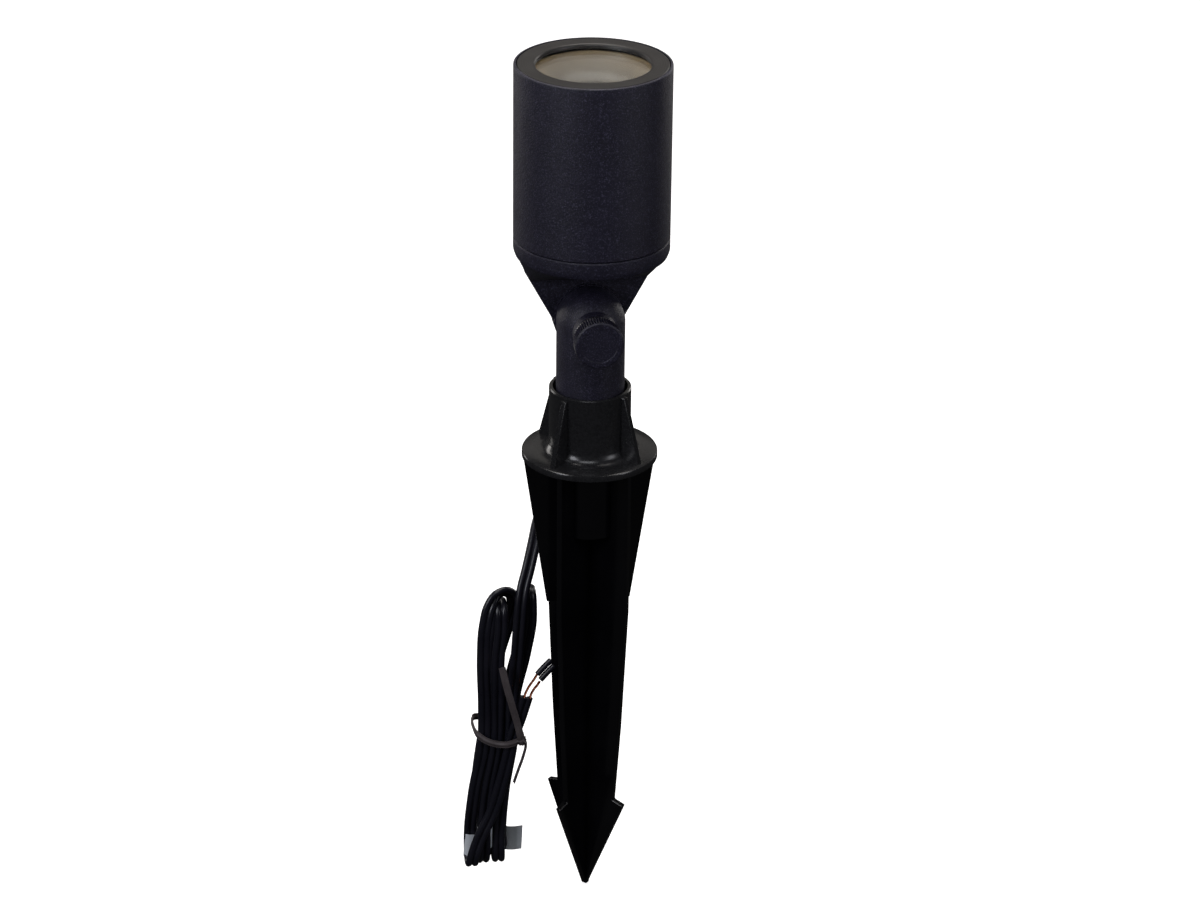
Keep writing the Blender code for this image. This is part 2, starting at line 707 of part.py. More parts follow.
def twist_tie():
    """A flat wire tie round the hank's waist."""
    centre = (-0.0357, (HANK_FRONT + HANK_BACK) / 2, -0.1270)
    half_width, rounding = 0.0100, 0.0012
    half_depth = (HANK_BACK - HANK_FRONT) / 2 + 0.0008
    half_height, thickness = 0.0016, 0.0010
    work = bmesh.new()
    rings = []
    section = ((0.0, -half_height), (thickness, -half_height), (thickness, half_height), (0.0, half_height))
    for grow, lift in section:
        corner = rounding + grow
        ring = []
        for step in range(SMALL_SIDES):
            angle = 2 * pi * (step + 0.5) / SMALL_SIDES
            x = (half_width - rounding) * (1 if cos(angle) > 0 else -1) + corner * cos(angle)
            y = (half_depth - rounding) * (1 if sin(angle) > 0 else -1) + corner * sin(angle)
            ring.append(work.verts.new((centre[0] + x, centre[1] + y, centre[2] + lift)))
        rings.append(ring)
    bridge(work, rings + rings[:1])
    return piece_from("twist_tie", work, "tie_grey")


def cord_tag():
    """A blank paper flag that stands out from the bottom of the hank."""
    outline = [(-0.0304, -0.1815), (-0.0247, -0.1812), (-0.0250, -0.1705), (-0.0297, -0.1708)]
    return prism("cord_tag", outline, 0.0090, 0.0094, "tag_white")


TAIL_ROUTE = [(-0.0262, 0.0000, -0.1215), (-0.0256, -0.0002, -0.1165), (-0.0245, 0.0000, -0.1062)]


def lead_end():
    """The free end: the cord, its two bare conductors, and a slug of insulation left on each."""
    pieces = [tube("cord_tail", TAIL_ROUTE, LEAD_WIDTH / 2, "lead_black", 3)]
    for number, side in ((1, -1), (2, 1)):
        shift = side * CORE_RADIUS
        bare = [(-0.0241 + shift, 0.0000, -0.1056), (-0.0226 + shift, 0.0006, -0.1024),
                (-0.0196 + shift / 2, 0.0014, -0.0985 - shift)]
        slug = [(-0.0191 + shift / 2, 0.0016, -0.0980 - shift),
                (-0.0164 + shift / 2, 0.0024, -0.0953 - shift),
                (-0.0136 + shift / 2, 0.0030, -0.0928 - shift)]
        pieces.append(tube(f"bare_conductor_{number}", bare, 0.0006, "copper", 3))
        pieces.append(tube(f"insulation_slug_{number}", slug, 0.0012, "lead_black", 2))
    return pieces


def main():
    clear_scene()
    post_axis = body_axis("post_axis", (0.0, 0.0, 0.0))
    head_axis = body_axis("head_axis", HINGE, post_axis)
    lens_axis = body_axis("lens_axis", (0.0, 0.0, SEAM_HEIGHT), head_axis)
    shroud_axis = body_axis("shroud_axis", (0.0, 0.0, SEAM_HEIGHT), lens_axis)
    washer_axis = body_axis("washer_axis", HINGE, post_axis)
    knob_axis = body_axis("knob_axis", HINGE, washer_axis)

    for make in (ground_stake, supply_lead, outlet_grommet, cord_lead, cord_hank, twist_tie, cord_tag,
                 lead_end):
        make()
    for make in (knuckle_post, post_washer):
        hang(make(), post_axis)
    for make in (rear_housing, threaded_insert, body_o_ring, heat_sink, led_board, led_diffuser,
                 reflector_cup, driver_board, lead_grommet):
        hang(make(), head_axis)
    for piece in driver_parts() + board_screws() + head_leads():
        hang(piece, head_axis)
    for make in (lens_glass, lens_gasket):
        hang(make(), lens_axis)
    for make in (lens_shroud, lens_ring):
        hang(make(), shroud_axis)
    hang(clamp_washer(), washer_axis)
    for make in (clamp_knob, clamp_screw):
        hang(make(), knob_axis)


main()
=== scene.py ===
from math import atan2, ceil, cos, pi, radians, sin

import bmesh
import bpy
from mathutils import Euler, Matrix, Vector


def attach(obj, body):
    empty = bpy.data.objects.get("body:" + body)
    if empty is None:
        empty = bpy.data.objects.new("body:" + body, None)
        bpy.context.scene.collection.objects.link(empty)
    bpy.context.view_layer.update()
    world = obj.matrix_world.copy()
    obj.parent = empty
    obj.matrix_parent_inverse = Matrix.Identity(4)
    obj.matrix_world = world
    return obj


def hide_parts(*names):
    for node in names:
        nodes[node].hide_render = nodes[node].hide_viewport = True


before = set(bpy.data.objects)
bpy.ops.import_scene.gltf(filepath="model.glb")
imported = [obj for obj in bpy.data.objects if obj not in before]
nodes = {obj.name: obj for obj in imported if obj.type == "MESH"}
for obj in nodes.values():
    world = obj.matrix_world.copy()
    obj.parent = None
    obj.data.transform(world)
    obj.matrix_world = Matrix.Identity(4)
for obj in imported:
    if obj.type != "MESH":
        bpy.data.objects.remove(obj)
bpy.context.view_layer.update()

print("frame loaded:", len(nodes), "nodes")


# Camera

cameraSet = {
    "place": (-0.204, -1.365, 0.641),
    "lens": 116.9,
    "down": 24.85,          # degrees below level
    "asideOfAxis": 0.17,    # degrees to the right of the stake's axis
    "roll": 0.66,
}


def placeCamera(s):
    camera = bpy.data.objects.new("studioCamera", bpy.data.cameras.new("studioCamera"))
    bpy.context.scene.collection.objects.link(camera)
    heading = atan2(-s["place"][0], -s["place"][1]) + radians(s["asideOfAxis"])
    turn = Euler((radians(90 - s["down"]), 0, -heading)).to_matrix().to_4x4()
    roll = Matrix.Rotation(radians(s["roll"]), 4, "Z")
    camera.matrix_world = Matrix.Translation(s["place"]) @ turn @ roll
    camera.data.lens = s["lens"]
    camera.data.sensor_width = 36
    camera.data.clip_start = 0.05
    bpy.context.scene.camera = camera


placeCamera(cameraSet)
print("camera placed")


# Finishes. Every pattern is laid in object coordinates, so scales are per metre.

def nodeMaker(material):
    tree = material.node_tree

    def make(kind, links=None, **settings):
        node = tree.nodes.new("ShaderNode" + kind)
        for name, value in settings.items():
            setattr(node, name, value)
        for socket, value in (links or {}).items():
            if isinstance(value, bpy.types.NodeSocket):
                tree.links.new(value, node.inputs[socket])
            else:
                node.inputs[socket].default_value = value
        return node

    return make


def newFinish(name, shaderSet):
    material = bpy.data.materials.new(name)
    material.use_nodes = True
    shader = material.node_tree.nodes["Principled BSDF"]
    for socket, value in shaderSet.items():
        shader.inputs[socket].default_value = value
    return material, shader, nodeMaker(material)


def mixed(make, factor, first, second):
    mix = make("Mix", {"Factor": factor}, data_type="RGBA")
    for socket, value in ((mix.inputs[6], first), (mix.inputs[7], second)):
        if isinstance(value, bpy.types.NodeSocket):
            mix.id_data.links.new(value, socket)
        else:
            socket.default_value = (*value, 1)
    return mix.outputs[2]


def spread(make, value, low, high, start=0.3, stop=0.7):
    reach = {"Value": value, "From Min": start, "From Max": stop, "To Min": low, "To Max": high}
    return make("MapRange", reach).outputs["Result"]


def grained(name, dark, light, rough, grain=1500, depth=0.00002, blotch=45, metallic=0.0):
    # a finish whose colour, gloss and surface vary in large soft blotches and in a fine grain
    grainShare = 0.35
    material, shader, make = newFinish(name, {"Metallic": metallic})
    place = make("TexCoord").outputs["Object"]
    large = make("TexNoise", {"Vector": place, "Scale": blotch, "Detail": 3.0}).outputs["Fac"]
    grit = {"Vector": place, "Scale": grain, "Detail": 4.0, "Roughness": 0.6}
    fine = make("TexNoise", grit).outputs["Fac"]
    blend = make("Math", {0: spread(make, large, 0, 1 - grainShare), 1: spread(make, fine, 0, grainShare)},
                 operation="ADD").outputs[0]
    link = material.node_tree.links.new
    link(mixed(make, blend, dark, light), shader.inputs["Base Color"])
    link(spread(make, blend, rough[0], rough[1], 0.0, 1.0), shader.inputs["Roughness"])
    bump = make("Bump", {"Height": fine, "Distance": depth, "Strength": 1.0})
    link(bump.outputs["Normal"], shader.inputs["Normal"])
    return material


def powderCoatFinish(s):
    # textured powder coat: rounded grains of two sizes, and a few paler specks that are painted glints
    material, shader, make = newFinish("powderCoat", s["shader"])
    place = make("TexCoord").outputs["Object"]
    large = make("TexNoise", {"Vector": place, "Scale": s["blotch"], "Detail": 3.0}).outputs["Fac"]
    warp = make("TexNoise", {"Vector": place, "Scale": s["grain"] * 0.7, "Detail": 2.0}).outputs["Color"]
    moved = make("VectorMath", {0: warp, "Scale": s["warp"]}, operation="SCALE").outputs[0]
    shaken = make("VectorMath", {0: place, 1: moved}, operation="ADD").outputs[0]
    cells = make("TexVoronoi", {"Vector": shaken, "Scale": s["grain"]}, feature="SMOOTH_F1")
    pits = make("TexNoise", {"Vector": place, "Scale": s["grain"] * 2.4, "Detail": 3.0}).outputs["Fac"]
    glint = make("TexNoise", {"Vector": place, "Scale": s["grain"] * 1.5, "Detail": 1.0}).outputs["Fac"]
    base = mixed(make, spread(make, large, 0, 1, 0.35, 0.65), s["dark"], s["light"])
    # paler specks painted into the colour stand for glints off the grains
    glinted = mixed(make, spread(make, glint, 0, s["glintShare"], 0.54, 0.72), base, s["glint"])
    grains = spread(make, cells.outputs["Distance"], 1, 0, 0.0, 0.8)
    height = make("Math", {0: grains, 1: spread(make, pits, 0, 0.45, 0.3, 0.7)}, operation="ADD").outputs[0]
    link = material.node_tree.links.new
    link(glinted, shader.inputs["Base Color"])
    link(spread(make, pits, s["rough"][0], s["rough"][1]), shader.inputs["Roughness"])
    bump = make("Bump", {"Height": height, "Distance": s["depth"], "Strength": 1.0})
    link(bump.outputs["Normal"], shader.inputs["Normal"])
    return material


def mouldingFinish(s):
    # a glossy moulding that is rougher above the ground line, painted lighter there as top light and painted
    # darker below it as the flange's shade
    material, shader, make = newFinish("glossyMoulding", {})
    place = make("TexCoord").outputs["Object"]
    large = make("TexNoise", {"Vector": place, "Scale": s["blotch"], "Detail": 4.0}).outputs["Fac"]
    fine = make("TexNoise", {"Vector": place, "Scale": s["grain"], "Detail": 4.0}).outputs["Fac"]
    height = make("SeparateXYZ", {"Vector": place}).outputs["Z"]
    ragged = make("Math", {0: large, 1: s["ragged"], 2: height}, operation="MULTIPLY_ADD").outputs[0]
    # how far the painted top light above the flange replaces the painted shade below it
    above = spread(make, ragged, 0, 1, s["shadedBelow"], s["litAbove"])
    low = mixed(make, spread(make, large, 0, 1), *s["shadedColours"])
    high = mixed(make, spread(make, fine, 0, 1), *s["litColours"])
    gloss = make("Mix", {"Factor": above}, data_type="FLOAT")
    link = material.node_tree.links.new
    link(spread(make, large, *s["lowerRough"]), gloss.inputs[2])
    link(spread(make, large, *s["upperRough"]), gloss.inputs[3])
    link(mixed(make, above, low, high), shader.inputs["Base Color"])
    link(gloss.outputs[0], shader.inputs["Roughness"])
    bump = make("Bump", {"Height": fine, "Distance": s["depth"], "Strength": 1.0})
    link(bump.outputs["Normal"], shader.inputs["Normal"])
    return material


def lensGlassFinish(s):
    # clear glass with a faint bloom of dust; lamps light what is behind it
    material, shader, make = newFinish("lensGlassClear", s["shader"])
    place = make("TexCoord").outputs["Object"]
    dust = make("TexNoise", {"Vector": place, "Scale": s["dust"], "Detail": 5.0}).outputs["Fac"]
    link = material.node_tree.links.new
    link(spread(make, dust, s["rough"][0], s["rough"][1]), shader.inputs["Roughness"])
    through = make("BsdfTransparent", {"Color": (*s["shade"], 1)})
    lamp = make("LightPath").outputs["Is Shadow Ray"]
    both = make("MixShader", {0: lamp, 1: shader.outputs[0], 2: through.outputs[0]})
    link(both.outputs[0], material.node_tree.nodes["Material Output"].inputs["Surface"])
    return material


def cupFinish(s):
    # satin cream, painted darker towards the foot as shade in the cup's hollow, and paler towards the rim
    material, shader, make = newFinish("cupCream", {})
    place = make("TexCoord").outputs["Object"]
    large = make("TexNoise", {"Vector": place, "Scale": s["blotch"], "Detail": 3.0}).outputs["Fac"]
    fine = make("TexNoise", {"Vector": place, "Scale": s["grain"], "Detail": 4.0}).outputs["Fac"]
    height = make("SeparateXYZ", {"Vector": place}).outputs["Z"]
    ragged = make("Math", {0: large, 1: s["ragged"], 2: height}, operation="MULTIPLY_ADD").outputs[0]
    link = material.node_tree.links.new
    # painted shade deep in the cup, fading to the rim colour
    colour = mixed(make, spread(make, ragged, 0, 1, s["foot"], s["rim"]), s["deepShade"], s["pale"])
    link(colour, shader.inputs["Base Color"])
    link(spread(make, fine, *s["rough"]), shader.inputs["Roughness"])
    bump = make("Bump", {"Height": fine, "Distance": s["depth"], "Strength": 1.0})
    link(bump.outputs["Normal"], shader.inputs["Normal"])
    return material


def turnedFinish(name, s):
    # a satin face with the fine rings that a lathe leaves
    material, shader, make = newFinish(name, s["shader"])
    place = make("TexCoord").outputs["Object"]
    flat = make("VectorMath", {0: place, 1: (1, 1, 0)}, operation="MULTIPLY").outputs[0]
    reach = make("VectorMath", {0: flat}, operation="LENGTH").outputs["Value"]
    turns = make("Math", {0: reach, 1: s["rings"]}, operation="MULTIPLY").outputs[0]
    ringNoise = make("TexNoise", {"W": turns, "Scale": 1.0, "Detail": 3.0}, noise_dimensions="1D")
    rings = ringNoise.outputs["Fac"]
    large = make("TexNoise", {"Vector": place, "Scale": 90, "Detail": 4.0}).outputs["Fac"]
    link = material.node_tree.links.new
    link(mixed(make, spread(make, large, 0, 1), s["dark"], s["light"]), shader.inputs["Base Color"])
    link(spread(make, rings, s["rough"][0], s["rough"][1]), shader.inputs["Roughness"])
    bump = make("Bump", {"Height": rings, "Distance": s["depth"], "Strength": 1.0})
    link(bump.outputs["Normal"], shader.inputs["Normal"])
    return material


powderCoatSet = {
    "dark": (0.0056, 0.0048, 0.0145),
    "light": (0.0090, 0.0079, 0.0205),
    # colour of the painted glint specks
    "glint": (0.095, 0.090, 0.150),
    "glintShare": 0.60,
    "grain": 1500,
    "warp": 0.0006,         # how far the grains are pushed out of round
    "blotch": 60,
    "depth": 0.00010,
    "rough": (0.42, 0.60),
    "shader": {"Specular IOR Level": 0.55},
}
mouldingSet = {
    "shadedBelow": -0.0010,       # height below which the moulding takes the painted shade colours
    "litAbove": 0.0040,        # height above which it takes the painted top-light colours
    "ragged": 0.006,
    # near-black painted shade below the flange, lighter painted top light above it
    "shadedColours": ((0.0016, 0.0016, 0.0022), (0.0032, 0.0032, 0.0042)),
    "litColours": ((0.0105, 0.0105, 0.0115), (0.0185, 0.0185, 0.0200)),
    "lowerRough": (0.10, 0.20),
    "upperRough": (0.16, 0.30),
    "blotch": 35,
    "grain": 900,
    "depth": 0.000006,
}
glassSet = {
    "shader": {"Transmission Weight": 1.0, "IOR": 1.50, "Base Color": (0.96, 0.98, 0.96, 1)},
    "dust": 400,
    "rough": (0.0, 0.05),
    "shade": (0.90, 0.92, 0.90),
}
cupSet = {
    # painted shade colour at the cup's foot
    "deepShade": (0.050, 0.035, 0.022),
    "pale": (0.260, 0.190, 0.115),
    "foot": 0.1480,
    "rim": 0.1552,
    "ragged": 0.0008,
    "rough": (0.30, 0.45),
    "blotch": 60,
    "grain": 1200,
    "depth": 0.00001,
}
ringSet = {
    "dark": (0.026, 0.024, 0.023),
    "light": (0.038, 0.036, 0.035),
    "rings": 5200,
    "depth": 0.000012,
    "rough": (0.34, 0.48),
    "shader": {"Metallic": 0.35, "Specular IOR Level": 0.5},
}
finishes = {
    "powderCoat": powderCoatFinish(powderCoatSet),
    "lensGlassClear": lensGlassFinish(glassSet),
    "ringBronze": turnedFinish("ringBronze", ringSet),
    "glossyMoulding": mouldingFinish(mouldingSet),
    "cordVinyl": grained("cordVinyl", (0.0060, 0.0060, 0.0110), (0.0120, 0.0120, 0.0190), (0.26, 0.38),
                         grain=1400, depth=0.000008, blotch=70),
    "sealRubber": grained("sealRubber", (0.010, 0.010, 0.010), (0.020, 0.020, 0.020), (0.60, 0.85)),
    "tiePlastic": grained("tiePlastic", (0.060, 0.050, 0.052), (0.105, 0.090, 0.092), (0.34, 0.50),
                          grain=1100, depth=0.00002, blotch=160),
    "tagPaper": grained("tagPaper", (0.66, 0.70, 0.74), (0.78, 0.82, 0.86), (0.55, 0.75), grain=900,
                        depth=0.00003, blotch=120),
    "copperStrand": grained("copperStrand", (0.34, 0.10, 0.045), (0.58, 0.22, 0.11), (0.25, 0.45),
                            grain=2600, blotch=500, metallic=1.0),
    "cupCream": cupFinish(cupSet),
    "ledPhosphor": grained("ledPhosphor", (0.62, 0.64, 0.60), (0.78, 0.79, 0.75), (0.45, 0.65), grain=1700,
                           depth=0.00003, blotch=220),
    "boardMask": grained("boardMask", (0.020, 0.034, 0.026), (0.040, 0.058, 0.046), (0.35, 0.55)),
    "boardWhite": grained("boardWhite", (0.060, 0.058, 0.052), (0.085, 0.082, 0.074), (0.40, 0.60)),
    "castAluminium": grained("castAluminium", (0.48, 0.48, 0.49), (0.66, 0.66, 0.67), (0.32, 0.52),
                             metallic=1.0),
    "plainSteel": grained("plainSteel", (0.42, 0.42, 0.43), (0.62, 0.62, 0.63), (0.22, 0.40), grain=2200,
                          metallic=1.0),
    "plainBrass": grained("plainBrass", (0.48, 0.33, 0.12), (0.66, 0.48, 0.20), (0.25, 0.45), metallic=1.0),
    "chipResin": grained("chipResin", (0.010, 0.010, 0.012), (0.022, 0.022, 0.024), (0.40, 0.60)),
}
print("finishes made:", len(finishes))


# Ways of working that several pieces share

def alone(piece):
    bpy.ops.object.select_all(action="DESELECT")
    piece.select_set(True)
    bpy.context.view_layer.objects.active = piece


def begin(name, primitive, **facts):
    # a primitive at its place, open in edit mode, with its origin at the frame's
    if bpy.context.object and bpy.context.object.mode != "OBJECT":
        bpy.ops.object.mode_set(mode="OBJECT")
    bpy.ops.object.select_all(action="DESELECT")
    getattr(bpy.ops.mesh, f"primitive_{primitive}_add")(**facts)
    piece = bpy.context.object
    piece.name = piece.data.name = name
    bpy.ops.object.transform_apply(location=True, rotation=True, scale=True)
    bpy.ops.object.mode_set(mode="EDIT")
    bpy.ops.mesh.select_mode(type="VERT")
    return piece


def pick(piece, wanted, kind="verts"):
    work = bmesh.from_edit_mesh(piece.data)
    work.verts.ensure_lookup_table()
    for part in (*work.faces, *work.edges, *work.verts):
        part.select = False
    for part in getattr(work, kind):
        if wanted(part):
            part.select_set(True)
    work.select_flush_mode()
    bmesh.update_edit_mesh(piece.data)


def grow(step, factor=(1, 1, 1), about=(0, 0, 0)):
    # extrude what is selected and size the new edge
    bpy.ops.mesh.extrude_region_move(TRANSFORM_OT_translate={"value": step})
    if factor != (1, 1, 1):
        bpy.ops.transform.resize(value=factor, center_override=about)


def leaveEdit(piece, sharp=32):
    bpy.ops.mesh.select_all(action="SELECT")
    bpy.ops.mesh.remove_doubles(threshold=1e-6)
    bpy.ops.mesh.normals_make_consistent(inside=False)
    bpy.ops.object.mode_set(mode="OBJECT")
    smooth(piece, sharp)
    return piece


def smooth(piece, sharp=32):
    alone(piece)
    bpy.ops.object.shade_smooth_by_angle(angle=radians(sharp))


def drawLine(name, outline):
    # a line of edges in the XZ plane, drawn by extruding one point
    piece = begin(name, "circle", vertices=3, radius=0.001, location=(0, 0, 0))
    bpy.ops.mesh.select_all(action="SELECT")
    bpy.ops.mesh.merge(type="CENTER")
    bpy.ops.transform.translate(value=(outline[0][0], 0, outline[0][1]))
    for before, after in zip(outline, outline[1:]):
        step = (after[0] - before[0], 0, after[1] - before[1])
        bpy.ops.mesh.extrude_vertices_move(TRANSFORM_OT_translate={"value": step})
    return piece


def lathe(name, outline, steps=96, sharp=32):
    # (radius, height) pairs turned about Z; a section that doesn't meet the axis is closed
    closed = outline[0][0] > 0
    piece = drawLine(name, [*outline, outline[0]] if closed else outline)
    bpy.ops.mesh.select_all(action="SELECT")
    bpy.ops.mesh.remove_doubles(threshold=1e-6)
    bpy.ops.mesh.select_all(action="SELECT")
    bpy.ops.mesh.spin(steps=steps, angle=2 * pi, center=(0, 0, 0), axis=(0, 0, 1))
    return leaveEdit(piece, sharp)


def plate(name, outline, low, high, turn=0.0):
    piece = drawLine(name, [*outline, outline[0]])
    bpy.ops.mesh.select_all(action="SELECT")
    bpy.ops.mesh.remove_doubles(threshold=1e-6)
    bpy.ops.mesh.select_all(action="SELECT")
    bpy.ops.mesh.edge_face_add()
    bpy.ops.transform.translate(value=(0, low, 0))
    bpy.ops.mesh.extrude_region_move(TRANSFORM_OT_translate={"value": (0, high - low, 0)})
    leaveEdit(piece)
    if turn:
        piece.rotation_euler.z = radians(turn)
        bpy.ops.object.transform_apply(location=False, rotation=True, scale=False)
    return piece


def faceFront(piece, centre):
    # a piece turned about Z is laid on its side, so that its heights run towards the front
    alone(piece)
    piece.rotation_euler.x = pi / 2
    piece.location = centre
    bpy.ops.object.transform_apply(location=True, rotation=True, scale=False)
    return piece


def useModifier(piece, kind, **settings):
    alone(piece)
    step = piece.modifiers.new(kind.lower(), kind)
    for name, value in settings.items():
        setattr(step, name, value)
    bpy.ops.object.modifier_apply(modifier=step.name)


def soften(piece, width, segments=3, angle=30, sharp=32):
    useModifier(piece, "BEVEL", width=width, segments=segments, limit_method="ANGLE",
                angle_limit=radians(angle), miter_outer="MITER_ARC", use_clamp_overlap=True)
    smooth(piece, sharp)
    return piece


def combine(piece, tool, operation, sharp=32):
    useModifier(piece, "BOOLEAN", object=tool, operation=operation, solver="EXACT")
    bpy.data.objects.remove(tool, do_unlink=True)
    alone(piece)
    bpy.ops.object.mode_set(mode="EDIT")
    bpy.ops.mesh.select_all(action="SELECT")
    bpy.ops.mesh.remove_doubles(threshold=2e-6)
    bpy.ops.mesh.dissolve_degenerate(threshold=2e-6)
    bpy.ops.object.mode_set(mode="OBJECT")
    smooth(piece, sharp)


def arc(centre, radius, start, stop, steps):
    angles = [radians(start + (stop - start) * step / steps) for step in range(steps + 1)]
    return [(centre[0] + radius * cos(angle), centre[1] + radius * sin(angle)) for angle in angles]


def mirrored(outline):
    return outline + [(-x, z) for x, z in reversed(outline)]


def smoothLine(stops, spacing):
    # points on a smooth curve through the stops; each stop is a place, and whatever rides along with it
    knots = [Vector(stop) for stop in stops]
    gaps = [max((b.xyz - a.xyz).length, 1e-9) for a, b in zip(knots, knots[1:])]
    speeds = [(knots[1] - knots[0]) / gaps[0]]
    for index in range(1, len(knots) - 1):
        before, after = gaps[index - 1], gaps[index]
        come = (knots[index] - knots[index - 1]) / before
        leave = (knots[index + 1] - knots[index]) / after
        speeds.append((come * after + leave * before) / (before + after))
    speeds.append((knots[-1] - knots[-2]) / gaps[-1])
    line = []
    for start, stop, gap, first, last in zip(knots, knots[1:], gaps, speeds, speeds[1:]):
        steps = max(2, ceil(gap / spacing))
        for step in range(steps):
            t = step / steps
            near = start * (2 * t ** 3 - 3 * t ** 2 + 1) + first * (gap * (t ** 3 - 2 * t ** 2 + t))
            far = stop * (3 * t ** 2 - 2 * t ** 3) + last * (gap * (t ** 3 - t ** 2))
            line.append(near + far)
    return [*line, knots[-1]]


def sweep(name, line, section, twist=0.0):
    # one closed skin round each line of (x, y, z, flat direction) points
    work = bmesh.new()
    turn = 0.0
    rings = []
    for index, knot in enumerate(line):
        ahead = line[min(index + 1, len(line) - 1)].xyz - line[max(index - 1, 0)].xyz
        ahead.normalize()
        flat = Vector(knot[3:6])
        flat = (flat - ahead * flat.dot(ahead)).normalized()
        flat.rotate(Matrix.Rotation(turn, 3, ahead))
        face = ahead.cross(flat)
        rings.append([work.verts.new(knot.xyz + flat * u + face * v) for u, v in section])
        if index + 1 < len(line):
            turn += twist * (line[index + 1].xyz - knot.xyz).length
    for first, second in zip(rings, rings[1:]):
        for step, corner in enumerate(first):
            after = (step + 1) % len(first)
            work.faces.new((corner, first[after], second[after], second[step]))
    for ring in (rings[0], rings[-1]):
        work.faces.new(ring)
    bmesh.ops.recalc_face_normals(work, faces=work.faces)
    mesh = bpy.data.meshes.new(name)
    work.to_mesh(mesh)
    work.free()
    piece = bpy.data.objects.new(name, mesh)
    bpy.context.scene.collection.objects.link(piece)
    smooth(piece, 50)
    return piece


def joinAll(name, parts):
    alone(parts[0])
    for part in parts:
        part.select_set(True)
    bpy.ops.object.join()
    parts[0].name = parts[0].data.name = name
    return parts[0]


def settle(piece, body, finish, slot, *replaced):
    # the piece's finish, the body it rides on and the solids it stands for
    if bpy.context.object and bpy.context.object.mode != "OBJECT":
        bpy.ops.object.mode_set(mode="OBJECT")
    piece.data.materials.clear()
    piece.data.materials.append(finishes[finish])
    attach(piece, body)
    if replaced:
        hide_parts(*replaced)
    return piece


# Lead: a flat two-core cord out of the hub, folded into a hank, with a stripped end

mm = 0.001
cordSet = {
    "width": 0.0053,
    "lobe": 0.00135,       # radius of each core's insulation
    "web": 0.00055,        # half the web's thickness
    "spacing": 0.0016,
    "lead": [(0, 21.8, -20), (0, 24.6, -20.1), (-0.9, 27.8, -20.9), (-3.2, 31.0, -23.2), (-7.5, 32.4, -27.5),
             (-12.5, 29.2, -32.8), (-16.8, 22.5, -38.8), (-19.7, 15.8, -45.8), (-22.4, 10.8, -53.4),
             (-25.2, 6.6, -61.5), (-26.2, 4.9, -68)],
    "levels": (-75, -90, -110, -127, -153, -172),
    "right": (-26.8, -27.8, -29.6, -30.2, -34.0, -35.3),
    "farRightBack": (-22.0, -24.5, -28.9, -29.4, -33.2, -34.4),
    "farRight": (-22.0, -24.3, -28.6, -29.2, -33.0, -34.4),
    "middle": (-34.0, -35.3, -35.5, -35.8, -39.8, -41.2),
    "left": (-40.5, -41.4, -41.0, -41.2, -45.0, -46.5),
    "leftDepth": (4.6, 4.5, 4.6, 5.0, 7.0, 8.8),
    "frontDepth": 4.5,
    "secondDepth": 7.6,
    "thirdDepth": 15.4,
    "backDepth": 18.5,
    "bottom": -179.0,      # heights of the folds' centres
    "rightTop": -69.5,
    "middleTop": -73.0,
    "backFoot": -41.8,     # where the run behind the left loop starts
    "backOfLeft": [(-42.8, 18.5, -172), (-42.2, 18.5, -153), (-38.9, 18.5, -127), (-36.4, 18.6, -110),
                   (-33.2, 18.3, -94), (-30.3, 17.3, -83), (-28.7, 15.2, -74.5)],
    "leftLoop": [(-28.4, 12.6, -68.4, 1, 0, 0.1), (-29.6, 10.6, -64.6, 0.75, -0.35, 0.6),
                 (-32.4, 9.0, -62.6, 0.1, -0.6, 0.8), (-35.8, 7.4, -63.5, -0.6, -0.5, 0.6),
                 (-38.8, 5.7, -68.0, -0.95, -0.1, 0.3)],
    "tail": [(-46.5, 8.9, -180.5), (-46.5, 7.8, -183.1), (-46.5, 5.2, -184.2), (-46.4, 2.6, -183.1),
             (-46.2, 1.5, -180.5), (-43.4, 1.4, -171), (-38.6, 1.4, -160), (-34.6, 1.4, -146),
             (-31.6, 1.4, -133), (-30.2, 1.4, -126), (-26.9, 0.6, -115), (-24.5, 0, -106.2)],
}


def leadStops(s):
    stops = [(*place, 1, 0, 0) for place in s["lead"]]

    def run(column, depth, upward=False):
        places = list(zip(s[column], s["levels"]))
        for x, z in reversed(places) if upward else places:
            stops.append((x, depth, z, 1, 0, 0))

    def fold(startX, stopX, startY, stopY, height, side):
        radius = abs(stopY - startY) / 2
        for step in range(5):
            angle = pi * step / 4
            x = startX + (stopX - startX) * step / 4
            y = (startY + stopY) / 2 + (startY - stopY) / 2 * cos(angle)
            stops.append((x, y, height + side * radius * sin(angle), 1, 0, 0))

    front, second, third, back = s["frontDepth"], s["secondDepth"], s["thirdDepth"], s["backDepth"]
    run("right", front)
    fold(s["right"][-1], s["farRightBack"][-1], front, back, s["bottom"], -1)
    run("farRightBack", back, upward=True)
    fold(s["farRightBack"][0], s["farRight"][0], back, second, s["rightTop"], 1)
    run("farRight", second)
    fold(s["farRight"][-1], s["middle"][-1], second, third, s["bottom"], -1)
    run("middle", third, upward=True)
    fold(s["middle"][0], s["middle"][0], third, front, s["middleTop"], 1)
    stops.pop()
    run("middle", front)
    fold(s["middle"][-1], s["backFoot"], front, back, s["bottom"], -1)
    stops.extend((*place, 1, 0, 0) for place in s["backOfLeft"])
    stops.extend(s["leftLoop"])
    stops.extend((x, y, z, -1, 0, 0) for x, y, z in zip(s["left"], s["leftDepth"], s["levels"]))
    stops.extend((*place, -1, 0, 0) for place in s["tail"])
    return [(x * mm, y * mm, z * mm, *flat) for x, y, z, *flat in stops]


